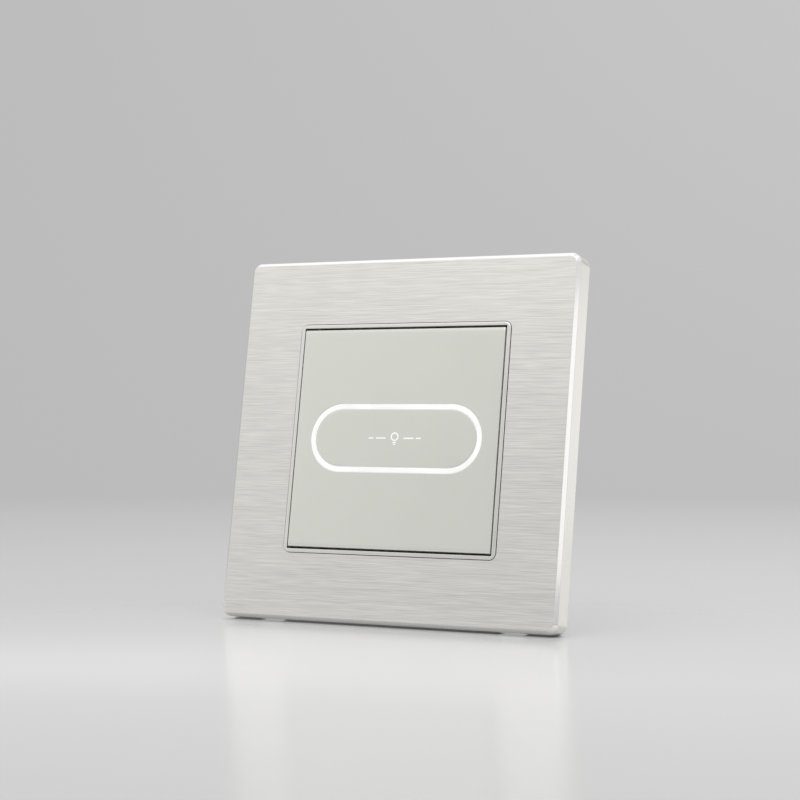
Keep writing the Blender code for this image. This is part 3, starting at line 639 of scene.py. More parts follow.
def moulded(name, colour, roughness, worn_and_highlit, grain=0.22):
    """Moulded plastic: fine spark-eroded grain, faint flow marks and rubbed edges."""
    look = Finish(name, colour, roughness)
    skin = look.noise(grain, 3.0)
    flow = look.noise((14.0, 5.0, 9.0), 3.0, (4.0, 1.0, 2.0))
    look.grain(skin, 0.03, 0.06, 0.006)
    look.grain(flow, 0.025, 0.04)
    look.wear_and_highlight(0.2, worn_and_highlit, 0.45, 0.1)
    return look.done()


def plated_steel():
    """Zinc plate: bright, with crystalline clouds, fine scratches and rubbed edges, and painted
    shade in its recesses.
    """
    look = Finish("zinc_plate", (0.6, 0.61, 0.63), 0.33, 1.0)
    cloud = look.noise(2.4, 4.0)
    scratch = look.noise((7.0, 0.25, 0.12))
    look.grain(cloud, 0.09, 0.1, 0.002)
    look.grain(scratch, 0.03, relief=0.002)
    look.mix(look.ramp(look.noise(8.0, 3.0), 0.5, 0.75), (0.62, 0.6, 0.5), 0.3)
    look.wear_and_highlight(0.15, (0.85, 0.85, 0.86), 0.6, 0.12)
    # Painted shade: recesses and gaps go nearly black.
    look.shade(6.0, (0.03, 0.03, 0.03), 2.0)
    return look.done()


def drawn_metal(name, colour, roughness, tarnish):
    """Rolled or drawn metal with die lines and a little tarnish."""
    look = Finish(name, colour, roughness, 1.0)
    lines = look.noise((4.0, 0.12, 0.12))
    cloud = look.noise(3.0, 4.0, (5.0, 5.0, 1.0))
    look.grain(lines, 0.04, relief=0.002)
    look.mix(look.ramp(cloud, 0.45, 0.8), tarnish, 0.45)
    look.vary_roughness(cloud, 0.08)
    brighter = 1.25
    look.wear_and_highlight(0.12, [min(1.0, c * brighter) for c in colour], 0.5, 0.08)
    return look.done()


def circuit_laminate():
    """Green solder mask over copper tracks, with the glass weave showing faintly."""
    look = Finish("board_laminate", (0.012, 0.12, 0.055), 0.3, 0.0, 0.3)
    tracks = look.add("ShaderNodeTexBrick")
    track_pitch = 6 * MM
    tracks.inputs["Scale"].default_value = 1 / track_pitch
    tracks.inputs["Mortar Size"].default_value = 0.06
    turned = look.add("ShaderNodeMapping")
    turned.inputs["Rotation"].default_value = (pi / 2, 0, 0)
    look.link(look.place, turned.inputs["Vector"])
    look.link(turned.outputs[0], tracks.inputs["Vector"])
    look.mix(tracks.outputs["Fac"], (0.05, 0.24, 0.1), 0.8)
    look.relief(tracks.outputs["Fac"], 0.03)
    look.grain(look.noise(0.5), 0.05, 0.05, 0.004)
    return look.done()


BRUSHED = brushed_metal()
POLISHED = polished_metal()
SATIN_SIDE = satin_metal("satin_side", (0.9, 0.893, 0.845), 0.3, worn_and_highlit=0.15)
PLATE_INSIDE = satin_metal("plate_inside", (0.62, 0.62, 0.6), 0.5, 0.35)
# The bezel's edges are lightened in full: a painted highlight along its window and collar.
BEZEL_METAL = satin_metal("bezel_metal", (0.82, 0.815, 0.775), 0.3, worn_and_highlit=1.0)
KEY_LACQUER = key_lacquer()
RING_GLOW = glowing("ring_glow", (1.0, 1.0, 1.0), (0.45, 0.45, 0.45), 0.6)
MARK_GLOW = glowing("mark_glow", (1.0, 1.0, 0.98), (0.6, 0.6, 0.58), 0.5)
LED_GLOW = glowing("led_package", (1.0, 0.93, 0.7), (0.85, 0.8, 0.55), 0.3)
IVORY = moulded("ivory_plastic", (0.7, 0.69, 0.64), 0.45, (0.85, 0.84, 0.8))
WHITE = moulded("white_plastic", (0.74, 0.74, 0.72), 0.42, (0.88, 0.88, 0.86))
GREY = moulded("grey_plastic", (0.19, 0.2, 0.215), 0.46, (0.36, 0.37, 0.38), 0.3)
ZINC = plated_steel()
STEEL = drawn_metal("spring_steel", (0.45, 0.45, 0.47), 0.28, (0.2, 0.19, 0.18))
BRASS = drawn_metal("brass", (0.8, 0.6, 0.26), 0.27, (0.42, 0.25, 0.09))
SILVER = drawn_metal("silver_contact", (0.84, 0.83, 0.79), 0.22, (0.45, 0.42, 0.36))
BOARD = circuit_laminate()


# The plate, the bezel and the key


def face_plate():
    side = PLATE.size.x
    inner = side - 2 * PLATE_WALL
    top = side - 2 * PLATE_CHAMFER
    inner_corner = PLATE_CORNER - PLATE_WALL
    levels = [
        square(side, PLATE_CORNER, PLATE.back, PLATE_RIM_EDGE),
        square(side, PLATE_CORNER, PLATE.front + PLATE_CHAMFER, CHAMFER_EDGE),
        square(top, PLATE_CORNER - PLATE_CHAMFER, PLATE.front, CHAMFER_EDGE),
        square(PLATE_OPENING, OPENING_CORNER, PLATE.front, FINE),
        square(PLATE_OPENING, OPENING_CORNER, SKIN_BACK, FINE),
        square(inner, inner_corner, SKIN_BACK, 0.3),
        square(inner, inner_corner, PLATE.back, PLATE_RIM_EDGE),
    ]
    looks = (BRUSHED, POLISHED, SATIN_SIDE, PLATE_INSIDE)
    plate = solid("brushed_plate", levels, *looks, closed=True, steps=10)
    notches = bmesh.new()
    for sign in SIGNS:
        at = (sign * NOTCH_X, -side / 2)
        add_pad(notches, NOTCH_WIDTH, 4 * PLATE_WALL, SMALLEST_CORNER, -NOTCH_DEPTH, 1, at)
    cut(plate, notches)
    for face in plate.data.polygons:
        middle = face.center / MM - Vector((0, WALL, 0))
        face.material_index = plate_finish(face.normal, middle)
    finish(plate, "base", "brushed_plate", "face_plate")


def plate_finish(normal, middle):
    """0 on the face, 1 on the chamfer, 2 on the outer sides and 3 inside."""
    reach = max(abs(middle.x), abs(middle.z))
    outside = PLATE.size.x / 2 - PLATE_CORNER
    squarely_forward = -0.97
    partly_forward = -0.3
    if normal.y < squarely_forward and middle.y < PLATE.front + FINE:
        return 0
    if normal.y < partly_forward and reach > outside - 1.2 * PLATE_CHAMFER:
        return 1
    if reach > outside and middle.x * normal.x + middle.z * normal.z > 0:
        return 2
    return 3


def trim_bezel():
    flange = BEZEL.size.x
    flange_front = BEZEL.back - BEZEL_FLANGE
    width, height = WINDOW
    levels = [
        square(flange, 0.3, BEZEL.back, FINE),
        square(flange, 0.3, flange_front, FINE),
        square(COLLAR_SIDE, COLLAR_CORNER, flange_front, FINE),
        square(COLLAR_SIDE, COLLAR_CORNER, BEZEL.front, COLLAR_EDGE),
        station(width, height, 0.1, BEZEL.front, WINDOW_EDGE),
        station(width, height, 0.1, BEZEL.back, FINE),
    ]
    bezel = solid("window_bezel", levels, BEZEL_METAL, closed=True, steps=8)
    finish(bezel, "base", "bezel_metal", "trim_bezel")


def rocker_key():
    """The key's skin and lip as one ring around the slot, with its four hooks."""
    width = KEY.size.x + KEY_WIDER
    height = KEY.size.z
    inner_width = width - 2 * KEY_LIP
    inner_height = height - 2 * KEY_LIP
    slot_corner = SLOT[1] / 2
    skin_back = INLAY.back
    levels = [
        station(width, height, KEY_CORNER, KEY_LIP_BACK, 0.1),
        station(width, height, KEY_CORNER, KEY.front, KEY_EDGE),
        station(*SLOT, slot_corner, KEY.front, FINE),
        station(*SLOT, slot_corner, skin_back, FINE),
        station(inner_width, inner_height, 0.5, skin_back, 0.2),
        station(inner_width, inner_height, 0.5, KEY_LIP_BACK, 0.1),
    ]
    key = solid("satin_key", levels, KEY_LACQUER, closed=True, steps=14)
    join(key, key_hooks(skin_back))
    finish(key, "rocker", "key_satin", "rocker_key")


def key_hooks(skin_back):
    """Two hooks above and two below, whose barbs catch behind the cradle."""
    hooks = bmesh.new()
    cradle = Extent("rocker_cradle")
    leg_inner = cradle.high.z + 0.3
    leg_outer = leg_inner + 1.4
    catch = cradle.high.z - 0.4
    barb = cradle.back + 0.3
    root = skin_back - 0.4
    profile = [
        (root, leg_inner),
        (barb, leg_inner),
        (barb, catch),
        (barb + 0.3, catch - 0.02),
        (KEY.back, leg_inner + 0.4),
        (KEY.back, leg_outer),
        (root, leg_outer),
    ]
    for x, up in corners((HOOK_X, 1)):
        add_slab(hooks, profile, x, HOOK_WIDTH / 2, up)
    return hooks


def key_inlay():
    width = INLAY.size.x
    height = INLAY.size.z
    inset = 1
    inner = (width - inset, height - inset, (height - inset) / 2)
    levels = [
        station(*inner, INLAY.back),
        station(width, height, height / 2, INLAY.back, 0.1),
        station(width, height, height / 2, INLAY.front, INLAY_EDGE),
        station(*inner, INLAY.front),
    ]
    inlay = solid("inner_pill", levels, KEY_LACQUER, steps=16)
    finish(inlay, "rocker", "key_satin", "key_inlay")


def ring_diffuser():
    """The opal plate, whose raised rib fills the slot around the pill."""
    base = DIFFUSER.size
    base_front = INLAY.back + 0.1
    length = SLOT[0] - 2 * SLOT_GAP
    height = SLOT[1] - 2 * SLOT_GAP
    outer = (length, height, height / 2)
    inner_length = length - 2 * RING_STROKE
    inner_height = height - 2 * RING_STROKE
    inner = (inner_length, inner_height, inner_height / 2)
    plate = (base.x, base.z, base.z / 2)
    inset = 4
    levels = [
        station(base.x - inset, base.z - inset, (base.z - inset) / 2, DIFFUSER.back),
        station(*plate, DIFFUSER.back, 0.15),
        station(*plate, base_front, 0.15),
        station(*outer, base_front, 0.1),
        station(*outer, DIFFUSER.front, 0.08),
        station(*inner, DIFFUSER.front, 0.08),
        station(*inner, base_front, 0.1),
        station(inner_length - inset, inner_height - inset, (inner_height - inset) / 2, base_front),
    ]
    diffuser = solid("light_ring", levels, RING_GLOW, steps=16)
    finish(diffuser, "rocker", "ring_glow", "ring_diffuser")


def lamp_mark():
    """A small printed lamp between short dashes, standing a hair proud of the inlay."""
    front = INLAY.front - MARK_HEIGHT
    back = INLAY.front + MARK_HEIGHT
    inner = BULB_RADIUS - MARK_STROKE
    shape = bmesh.new()
    outside = [disc(BULB_RADIUS, back), disc(BULB_RADIUS, front)]
    bulb = outside + [disc(inner, front), disc(inner, back)]
    add_solid(shape, bulb, closed=True, steps=12, centre=(0, BULB_RAISED))
    for width, drop in BULB_CAPS:
        at = (0, BULB_RAISED - BULB_RADIUS - drop)
        add_pad(shape, width, MARK_STROKE, MARK_STROKE / 2, front, back, at)
    for sign in SIGNS:
        for start, length in DASHES:
            at = (sign * (start + length / 2), 0)
            add_pad(shape, length, MARK_STROKE, MARK_STROKE / 2, front, back, at)
    finish(make("lamp_mark", shape, MARK_GLOW), "rocker", "ring_glow")


# The pieces behind the plate


def mounting_yoke():
    """A drawn steel pan with rounded bends, slots, clip windows and stiffening beads."""
    side = YOKE.size.x
    inner = side - 2 * YOKE_SHEET
    web_back = YOKE.front + YOKE_SHEET
    levels = [
        square(side, YOKE_CORNER, YOKE.back, 0.1),
        square(side, YOKE_CORNER, YOKE.front, 0.7),
        square(YOKE_OPENING, BODY_CORNER, YOKE.front, 0.1),
        square(YOKE_OPENING, BODY_CORNER, web_back, 0.1),
        square(inner, YOKE_CORNER - YOKE_SHEET, web_back, 0.35),
        square(inner, YOKE_CORNER - YOKE_SHEET, YOKE.back, 0.1),
    ]
    yoke = solid("steel_yoke", levels, ZINC, closed=True, steps=10)
    foot = (*BEAD_FOOT, BEAD_FOOT[0] / 2)
    crest = station(*BEAD_CREST, BEAD_CREST[0] / 2, web_back + BEAD_RISE)
    raised = [station(*foot, web_back - 0.4), station(*foot, web_back + 0.1), crest]
    beads = bmesh.new()
    for sign in SIGNS:
        add_solid(beads, raised, centre=(sign * BEAD_X, 0))
    join(yoke, beads)
    holes = bmesh.new()
    start = YOKE.front - 1
    end = YOKE.back + 1
    for sign in SIGNS:
        add_pad(holes, *SLOT_SIZE, SLOT_SIZE[0] / 2, start, end, (sign * SCREW_X, 0), steps=8)
        at = (sign * BEAD_X, 0)
        add_pad(holes, *GROOVE, GROOVE[0] / 2, start, YOKE.front + BEAD_RISE, at)
    for at in corners(CLIP_AT):
        add_pad(holes, *CLIP_HOLE, 0.25, start, end, at)
    for at in corners(FLANGE_SCREW_AT):
        add_rod(holes, YOKE_SCREW_HOLE, start, end, at)
    cut(yoke, holes)
    finish(yoke, "base", "zinc_steel", "mounting_yoke", edge=0.06)


def mechanism_housing():
    """An open-fronted box with screw flanges, ribs and recessed side panels."""
    side = HOUSING.size.x
    inner = side - 2 * HOUSING_WALL
    levels = [
        square(inner, 0.4, HOUSING_FLOOR),
        square(inner, 0.4, HOUSING.front, 0.1),
        square(side, BODY_CORNER, HOUSING.front, 0.15),
        square(side, BODY_CORNER, HOUSING.back, 0.2),
    ]
    housing = solid("white_housing", levels, WHITE)
    join(housing, housing_extras(side, inner))
    cut(housing, housing_holes())
    finish(housing, "base", "white_plastic", "mechanism_housing", edge=0.12)


def housing_extras(side, inner):
    """Flanges above and below on gussets, corner posts, and bosses for the case's screws."""
    extras = bmesh.new()
    reach = HOUSING.high.z
    root = side / 2 - 0.5
    gusset = [
        (FLANGE_BACK - 0.3, root),
        (FLANGE_BACK - 0.3, reach - 1.2),
        (FLANGE_BACK + 0.4, reach - 1.2),
        (HOUSING.back - 1.4, root + 0.9),
        (HOUSING.back - 1.4, root),
    ]
    for up in SIGNS:
        at = (0, up * (reach + root) / 2)
        size = (FLANGE_WIDTH, reach - root, FLANGE_CORNER)
        add_pad(extras, *size, FLANGE_FRONT, FLANGE_BACK, at, steps=6)
        for x in GUSSETS_X:
            add_slab(extras, gusset, x, GUSSET_HALF, up)
    post = inner / 2 - 1.35
    rooted = HOUSING_FLOOR + 0.4
    for at in corners((post, post)):
        add_pad(extras, POST_SIDE, POST_SIDE, 0.3, POST_FRONT, rooted, at)
    for sign in SIGNS:
        add_rod(extras, 4.8, 5.0, rooted, (sign * CASE_SCREW_X, 0))
    return extras


def housing_holes():
    """Holes for screws, plungers, supply pins and the pivot, and the sunken side panels."""
    holes = bmesh.new()
    start = HOUSING_FLOOR - 1
    through = HOUSING.back + 1
    for at in corners(FLANGE_SCREW_AT):
        add_rod(holes, FLANGE_HOLE, FLANGE_FRONT - 1, FLANGE_BACK + 1, at)
    for up in SIGNS:
        add_rod(holes, PLUNGER_HOLE, start, through, (0, up * PLUNGER_Z))
        at = (SUPPLY_X, up * TERMINAL_AT[1])
        add_rod(holes, SUPPLY_HOLE, start, through, at, steps=4)
    for sign in SIGNS:
        add_rod(holes, CASE_SCREW_HOLE, 5.8, through, (sign * CASE_SCREW_X, 0))
    for at in BOARD_SCREWS_AT:
        add_rod(holes, BOARD_SCREW_HOLE, -3, 4, at, steps=4)
    sideways = Matrix.Rotation(-pi / 2, 4, "Z")
    pivot = Extent("pivot_pin_left").middle.y
    outside = 27
    add_rod(holes, PIN_HOLE, -outside, outside, (-pivot, 0), sideways)
    depth, height = PANEL_AT
    half = outside - PANEL_FLOOR_X
    for x, z in corners((outside, height)):
        add_pad(holes, *PANEL_SIZE, 0.8, x - half, x + half, (-depth, z), sideways)
    return holes


def terminal_case():
    """The rear cover: wire funnels above and below, screw wells behind, and ribs."""
    side = CASE.size.x
    inner = side - 2 * CASE_WALL
    inner_back = CASE.back - CASE_WALL
    levels = [
        square(inner, 0.4, inner_back),
        square(inner, 0.4, CASE.front, 0.1),
        square(side, BODY_CORNER, CASE.front, 0.15),
        square(side, BODY_CORNER, CASE.back - 0.3, 0.5),
        square(side - 2.4, BODY_CORNER - 0.6, CASE.back - 0.3, 0.1),
        square(side - 3.0, BODY_CORNER - 0.8, CASE.back - 0.9, 0.1),
    ]
    case = solid("grey_terminal_case", levels, GREY)
    join(case, case_wells(inner_back))
    join(case, case_ribs())
    cut(case, case_holes(side, inner_back))
    finish(case, "base", "grey_plastic", "terminal_case", edge=0.1)


def add_rim(shape, outer, inner, top, edge, at):
    levels = [disc(outer, CASE.back - RIB), disc(outer, top, edge), disc(inner, top)]
    add_solid(shape, levels, steps=8, centre=at)


def case_wells(inner_back):
    """Raised rims around the clamp screws, and pillars and rims for the case's own screws."""
    wells = bmesh.new()
    for at in corners(TERMINAL_AT):
        add_rim(wells, 3.9, 2.0, CASE.back, 0.3, at)
    for sign in SIGNS:
        at = (sign * CASE_SCREW_X, 0)
        add_rod(wells, 5.8, CASE.front, inner_back + 0.4, at, steps=8)
        add_rim(wells, 3.3, 1.6, CASE.back - 0.2, 0.25, at)
    return wells


def case_ribs():
    ribs = bmesh.new()
    root = CASE.back - RIB
    top = CASE.back - 0.1
    length, z = CROSS_RIBS
    for up in SIGNS:
        add_pad(ribs, length, RIB, 0.5, root, top, (0, up * z))
    length, x, z = SIDE_RIBS
    for side in SIGNS:
        for up in (1, -1):
            add_pad(ribs, RIB, length, 0.5, root, top, (side * x, up * z))
    return ribs


def case_holes(side, inner_back):
    """Wire funnels in the upper and lower sides, screw holes, and wells for a screwdriver."""
    holes = bmesh.new()
    upwards = Matrix.Rotation(pi / 2, 4, "X")
    for sign in SIGNS:
        for up in SIGNS:
            funnel = [disc(radius, up * (side / 2 - inside)) for radius, inside in WIRE_FUNNEL]
            at = (sign * TERMINAL_AT[0], -WIRE_DEPTH)
            add_solid(holes, funnel, steps=8, centre=at, turn=upwards)
        at = (sign * CASE_SCREW_X, 0)
        add_rod(holes, CASE_SCREW_HOLE, CASE.front - 1, CASE.back + 1, at, steps=8)
        add_rod(holes, CASE_SCREW_HEAD, CASE.back - 1.6, CASE.back + 1, at, steps=8)
    well = [disc(2.6, inner_back - 0.5), disc(2.6, CASE.back - 0.5)]
    mouth = disc(3.2, CASE.back + 0.1)
    for at in corners(TERMINAL_AT):
        add_solid(holes, [*well, mouth], steps=8, centre=at)
    return holes


def plus_loop(reach, half, depth, centre):
    """A cross whose arms narrow outwards."""
    tip = 0.8 * half
    arm = [(reach, -tip), (reach, tip), (half, half)]
    points = []
    for _ in range(4):
        points += [Vector((centre[0] + x, depth, centre[1] + z)) for x, z in arm]
        arm = [(-z, x) for x, z in arm]
    return points


def circle_loop(radius, depth, centre, wave=None):
    points = []
    for i in range(SCREW_SIDES):
        angle = tau * i / SCREW_SIDES
        r = wave(angle, radius) if wave else radius
        points.append(Vector((centre[0] + r * cos(angle), depth, centre[1] + r * sin(angle))))
    return points


def screw(name, node, crest, head_height, pitch, facing=-1):
    """A pan-head screw in the place of a CAD one; crest is the radius over its thread."""
    seen = Extent(node)
    at = (seen.middle.x, seen.middle.z)
    head = seen.size.x / 2
    seat = seen.front + head_height if facing < 0 else seen.back - head_height
    length = seen.size.y - head_height
    loops = []
    dome_steps = 7
    flat_share = 0.55
    rim_share = 0.45
    for step in range(dome_steps + 1):
        turn = step / dome_steps * pi / 2
        radius = head * flat_share + head * (1 - flat_share) * sin(turn)
        height = head_height * (rim_share + (1 - rim_share) * cos(turn))
        loops.append(circle_loop(radius, seat + facing * height, at))
    loops.append(circle_loop(head, seat + facing * 0.1, at))
    loops.append(circle_loop(head - 0.1, seat, at))
    loops.append(circle_loop(crest, seat, at))
    loops += thread_loops(crest, pitch, length, seat, facing, at)
    shape = bmesh.new()
    add_loops(shape, loops)
    piece = make(name, shape, ZINC)
    cut(piece, cross_recess(head, head_height, seat, facing, at))
    finish(piece, "base", "zinc_steel", node)


def thread_loops(crest, pitch, length, seat, facing, at):
    """A helical thread in rings, after a short plain neck, with a tapered tip."""
    core = crest - pitch * 0.42
    neck = min(1.0, length * 0.2)
    loops = [circle_loop(crest, seat - facing * neck, at)]
    per_turn = 8
    steepness = 1.35
    tip_share = 0.35
    tip_length = 0.8
    rings = int((length - neck) / pitch * per_turn)
    for ring in range(rings + 1):
        along = neck + (length - neck) * ring / rings
        taper = min(1.0, (length - along) / tip_length + tip_share)

        def wave(angle, radius, along=along, taper=taper):
            phase = along / pitch - angle / tau
            saw = abs(2 * (phase - floor(phase)) - 1)
            return (core + (radius - core) * min(1.0, steepness * saw)) * taper

        loops.append(circle_loop(crest, seat - facing * along, at, wave))
    return loops


def cross_recess(head, head_height, seat, facing, at):
    """A cutter for the driver's cross, which narrows as it goes in."""
    top = seat + facing * head_height
    reach = head * 0.58
    half = head * 0.13
    sunk = head_height * 0.55
    wide = plus_loop(reach, half, top + facing * 0.3, at)
    narrow = plus_loop(reach * 0.55, half * 0.7, top - facing * sunk, at)
    cross = bmesh.new()
    add_loops(cross, [wide, narrow])
    return cross


def screws():
    for side in ("left", "right"):
        screw("mounting_bolt_" + side, "mounting_screw_" + side, *MOUNTING_SCREW)
        screw("case_bolt_" + side, "case_screw_" + side, *CASE_SCREW, facing=1)
    for number in range(1, 5):
        screw(f"housing_bolt_{number}", f"housing_screw_{number}", *HOUSING_SCREW)
    for number in (1, 2):
        screw(f"board_bolt_{number}", f"board_screw_{number}", *BOARD_SCREW)
    for pole in ("neutral", "live", "upper_load", "lower_load"):
        screw("clamp_bolt_" + pole, "terminal_screw_" + pole, *CLAMP_SCREW, facing=1)


def return_spring(level):
    """A coil with closed ends, which takes the place of the CAD spring of that level."""
    seen = Extent(level + "_return_spring")
    middle = seen.middle
    wire = 0.3
    radius = seen.size.x / 2 - wire
    start = seen.front + wire
    end = seen.back - wire
    turns = 5.5
    closed_turns = 0.75
    per_turn = 28
    around = 10
    count = int(turns * per_turn)
    flat = closed_turns / turns
    loops = []
    for step in range(count + 1):
        share = step / count
        angle = tau * turns * share
        rise = min(max((share - flat) / (1 - 2 * flat), 0.0), 1.0)
        out = Vector((cos(angle), 0, sin(angle)))
        centre = Vector((middle.x, start + (end - start) * rise, middle.z)) + radius * out
        loop = []
        for i in range(around):
            turn = tau * i / around
            loop.append(centre + wire * (cos(turn) * out + sin(turn) * Vector((0, 1, 0))))
        loops.append(loop)
    shape = bmesh.new()
    add_loops(shape, loops)
    spring = make(level + "_coil", shape, STEEL)
    spring.data.shade_smooth()
    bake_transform(spring)
    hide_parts(level + "_return_spring")


# CAD nodes that are kept

KEPT = (
    (IVORY, "plate_carrier", "upper_plunger", "lower_plunger"),
    (WHITE, "rocker_cradle"),
    (BOARD, "led_board"),
    (STEEL, "pivot_pin_left", "pivot_pin_right"),
    (BRASS, "common_contact", "upper_fixed_contact", "lower_fixed_contact", "neutral_contact"),
    (BRASS, "supply_pin_live", "supply_pin_neutral"),
    (BRASS, "terminal_neutral", "terminal_live", "terminal_upper_load", "terminal_lower_load"),
    (SILVER, "upper_bridge_contact", "lower_bridge_contact"),
    (LED_GLOW, *(f"led_{number}" for number in range(1, 7))),
)


def dress(node, material):
    """Cleans and slightly rounds a CAD node's surface, and gives it its finish."""
    piece = frame["nodes"][node]
    piece.data.materials.clear()
    piece.data.materials.append(material)
    weld = piece.modifiers.new("weld", "WELD")
    weld.merge_threshold = 0.001 * MM
    flats = piece.modifiers.new("flats", "DECIMATE")
    flats.decimate_type = "DISSOLVE"
    flats.angle_limit = radians(1)
    round_edges(piece, KEPT_EDGE)


# The studio: the switch leans back on its lower rear edge, so the floor is tilted in the row frame

LEAN = radians(10)
STUDIO = Matrix.Translation(Vector((0, WALL, PLATE.low.z)) * MM) @ Matrix.Rotation(LEAN, 4, "X")
CAMERA_AT = Vector((197.0, -389.7, 52.35)) * MM
CAMERA_TURN = radians(26.6)
FORWARD = (-sin(CAMERA_TURN), cos(CAMERA_TURN), 0)
RIGHT = (cos(CAMERA_TURN), sin(CAMERA_TURN), 0)
LENS = 85.0
NEAREST = 0.01
FLOOR_SIZE = 3.0
PLATE_MIDDLE = Vector((0, 7, 43)) * MM

# The floor: distances from the switch's lower rear edge in metres, and reaches in millimetres
FADE_FROM = Vector((90.0, -180.0, 0.0)) * MM
FADE = (0.1, 0.8)
# Painted light on the floor: the left side, the glow by depth, and a painted pool of light and
# painted shade on the left
LEFT_SIDE = (0.005, -0.045)
FLOOR_GLOW = (-0.085, -0.19, 0.2, 0.12)
BRIGHT_STARTS = (-0.01, -0.05)
BRIGHT_ENDS = (-0.11, -0.07)
BRIGHTER = 0.06
DIM_STARTS = (-0.01, 0.05)
DIMMER = -0.035
# Painted contact shadow under the switch: its reach, sharpness and colour
CONTACT_SHADE_REACH = 0.6
CONTACT_SHADE_POWER = 2.2
CONTACT_SHADE_COLOUR = (0.01, 0.01, 0.01)
SHINE_REACH = 20.0
SHINE = (0.5, 0.85, 0.0, 0.5)

# Lamps: name, direction from the plate, distance, size and radiance
SOFTBOXES = (
    ("top_softbox", (-0.45, 0.31, 0.84), 0.9, (0.8, 0.8), 0.17),
    ("overhead_softbox", (0.2, -0.45, 0.87), 0.9, (0.9, 0.9), 0.6),
    ("front_softbox", (-0.13, -0.75, 0.6), 0.9, (0.3, 0.3), 0.6),
    ("right_softbox", (0.905, -0.39, 0.192), 0.6, (0.35, 0.15), 0.35),
    ("side_softbox", (0.448, 0.894, 0.02), 0.6, (0.4, 0.16), 0.4),
)

# Brightness of the room: a value and how much it gains with height
ROOM = (0.6, 0.4)
FRONT_OF_ROOM = (0.73, 0.6)
FRONT_POOL = ((-0.45, -0.84, 0.35), 20, 55)

# Darker parts of the room: brightness, direction, and inner and outer angles in degrees
DARK_POOLS = (
    (0.5, (-0.087, -0.995, 0.052), 20, 31),
    (0.5, (-0.89, 0.46, -0.08), 6, 12),
    (0.44, (0.9, -0.42, -0.1), 8, 15),
    (0.55, (0.45, 0.89, 0.02), 15, 30),
)

# The backdrop: its brightness, and its gain to the right, upwards, and for the two together
BACKDROP = 0.514
BACKDROP_RIGHT = 0.071
BACKDROP_UP = 0.105
BACKDROP_BOTH = 0.37
BACKDROP_REACH = 0.3
BACKDROP_POOL = (25, 42)
BACKDROP_TOP = (0.36, 0.14)


def place_in_studio(item, location, rotation):
    item.matrix_world = STUDIO @ Matrix.Translation(location) @ rotation


def camera():
    data = bpy.data.cameras.new("camera")
    data.lens = LENS
    data.clip_start = NEAREST
    item = new_object("camera", data)
    level = Matrix.Rotation(CAMERA_TURN, 4, "Z") @ Matrix.Rotation(pi / 2, 4, "X")
    place_in_studio(item, CAMERA_AT, level)
    bpy.context.scene.camera = item


def floor_finish():
    """A glossy pale floor that melts into the backdrop some way behind the switch, with a painted
    shadow where the switch meets it.
    """
    look = Finish("studio_floor", (0.46, 0.46, 0.46), 0.18)
    look.grain(look.noise(0.8), 0.003, relief=0.0008)
    look.vary_roughness(look.noise(60.0), 0.015)
    # Painted contact shadow: colour and glow go dark where the switch closes the floor in.
    unshaded = look.maths("POWER", look.open_air(CONTACT_SHADE_REACH), CONTACT_SHADE_POWER)
    look.mix(look.maths("SUBTRACT", 1.0, unshaded), CONTACT_SHADE_COLOUR, 1.0)
    look.set("Emission Color", (1, 1, 1, 1))
    look.drive("Emission Strength", look.maths("MULTIPLY", unshaded, floor_glow(look)))
    look.drive("Specular IOR Level", look.ramp(look.open_air(SHINE_REACH), *SHINE))
    material = look.done()
    fade_out(look)
    return material


def floor_glow(look):
    """A low glow painted on the floor: stronger, as a painted pool of light, in front of the
    switch's left side, and weaker, as painted shade, behind it.
    """
    depth = look.along(FORWARD)
    left = look.ramp(look.along(RIGHT), *LEFT_SIDE)
    glow = look.ramp(depth, *FLOOR_GLOW)
    rise = look.ramp(depth, *BRIGHT_STARTS)
    fall = look.ramp(depth, *BRIGHT_ENDS)
    bright = look.maths("MULTIPLY", left, look.maths("MULTIPLY", rise, fall))
    dim = look.maths("MULTIPLY", left, look.ramp(depth, *DIM_STARTS))
    glow = look.maths("MULTIPLY_ADD", bright, BRIGHTER, glow)
    return look.maths("MULTIPLY_ADD", dim, DIMMER, glow)


def fade_out(look):
    """Makes the floor clear far from the switch, and clear from below."""
    apart = look.add("ShaderNodeVectorMath", operation="DISTANCE")
    look.link(look.place, apart.inputs[0])
    apart.inputs[1].default_value = FADE_FROM
    fade = look.ramp(apart.outputs["Value"], *FADE)
    behind = look.add("ShaderNodeNewGeometry").outputs["Backfacing"]
    hidden = look.maths("MAXIMUM", fade, behind)
    clear = look.add("ShaderNodeBsdfTransparent")
    mixed = look.add("ShaderNodeMixShader")
    look.link(hidden, mixed.inputs[0])
    look.link(look.surface.outputs[0], mixed.inputs[1])
    look.link(clear.outputs[0], mixed.inputs[2])
    look.link(mixed.outputs[0], look.tree.nodes["Material Output"].inputs["Surface"])


def studio_floor():
    shape = bmesh.new()
    bmesh.ops.create_grid(shape, x_segments=1, y_segments=1, size=FLOOR_SIZE)
    mesh = bpy.data.meshes.new("floor")
    shape.to_mesh(mesh)
    shape.free()
    mesh.materials.append(floor_finish())
    ground = new_object("floor", mesh)
    place_in_studio(ground, Vector((0, 0, 0)), Matrix.Identity(4))


def softbox(name, direction, distance, size, radiance):
    """A rectangular lamp that faces the middle of the plate from a direction."""
    data = bpy.data.lights.new(name, "AREA")
    data.shape = "RECTANGLE"
    data.size, data.size_y = size
    data.energy = radiance * size[0] * size[1] * pi
    lamp = new_object(name, data)
    towards = Vector(direction).normalized()
    lamp.visible_camera = False
    aim = towards.to_track_quat("Z", "Y").to_matrix().to_4x4()
    place_in_studio(lamp, PLATE_MIDDLE + towards * distance, aim)


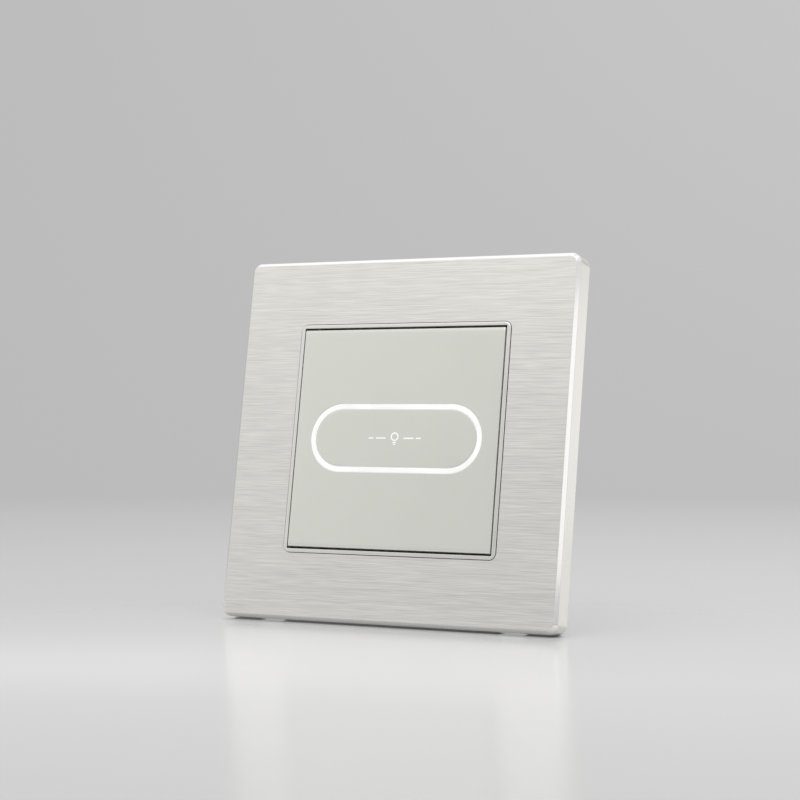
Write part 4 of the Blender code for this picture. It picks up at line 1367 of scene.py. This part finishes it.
class Sky(Nodes):
    """Brightness by direction, built up for the world from soft-edged pools of light."""

    def __init__(self):
        super().__init__(bpy.data.worlds.new("studio"), "Generated")

    def along(self, axis):
        """How far a direction points along an axis of the studio, from -1 to 1."""
        return self.dot(self.place, STUDIO.to_3x3() @ Vector(axis).normalized())

    def held(self, value, low, high):
        return self.maths("MAXIMUM", self.maths("MINIMUM", value, high), low)

    def step(self, value, start, end):
        """0 below start, 1 above end, and smooth between."""
        return self.ramp(value, start, end, interpolation_type="SMOOTHSTEP")

    def pool(self, axis, inner, outer):
        """1 within inner degrees of an axis, fading to 0 at outer degrees."""
        return self.step(self.along(axis), cos(radians(outer)), cos(radians(inner)))

    def blend(self, low, high, share):
        """low where share is 0, and high where it is 1."""
        return self.maths("MULTIPLY_ADD", self.maths("SUBTRACT", high, low), share, low)


def backdrop_brightness(sky, rise):
    right = sky.held(sky.along(RIGHT), -BACKDROP_REACH, BACKDROP_REACH)
    lift = sky.held(rise, -BACKDROP_REACH, BACKDROP_REACH)
    backdrop = sky.maths("MULTIPLY_ADD", right, BACKDROP_RIGHT, BACKDROP)
    backdrop = sky.maths("MULTIPLY_ADD", lift, BACKDROP_UP, backdrop)
    both = sky.maths("MULTIPLY", right, lift)
    return sky.maths("MULTIPLY_ADD", both, BACKDROP_BOTH, backdrop)


def room_brightness(sky, rise):
    base, gain = ROOM
    room = sky.maths("MULTIPLY_ADD", sky.held(rise, 0.0, 0.8), gain, base)
    base, gain = FRONT_OF_ROOM
    front = sky.maths("MULTIPLY_ADD", sky.held(rise, 0.0, 0.5), gain, base)
    room = sky.blend(room, front, sky.pool(*FRONT_POOL))
    for brightness, axis, inner, outer in DARK_POOLS:
        room = sky.blend(room, brightness, sky.pool(axis, inner, outer))
    return room


def world():
    """A pale backdrop behind the switch, in a brighter room with light from above."""
    sky = Sky()
    rise = sky.along((0, 0, 1))
    backdrop = backdrop_brightness(sky, rise)
    room = room_brightness(sky, rise)
    behind = sky.pool(FORWARD, *BACKDROP_POOL)
    near_backdrop = sky.maths("MULTIPLY", behind, sky.step(rise, *BACKDROP_TOP))
    room = sky.blend(room, backdrop, near_backdrop)
    seen = sky.add("ShaderNodeLightPath").outputs["Is Camera Ray"]
    background = sky.tree.nodes["Background"]
    background.inputs["Color"].default_value = (1, 1, 1, 1)
    sky.link(sky.blend(room, backdrop, seen), background.inputs["Strength"])
    bpy.context.scene.world = sky.owner


def studio():
    studio_floor()
    for box in SOFTBOXES:
        softbox(*box)
    world()
    camera()
    bpy.context.scene.view_settings.view_transform = "Standard"


def build():
    face_plate()
    trim_bezel()
    rocker_key()
    key_inlay()
    ring_diffuser()
    lamp_mark()
    mounting_yoke()
    mechanism_housing()
    terminal_case()
    screws()
    return_spring("upper")
    return_spring("lower")
    for material, *nodes in KEPT:
        for node in nodes:
            dress(node, material)
    studio()


build()
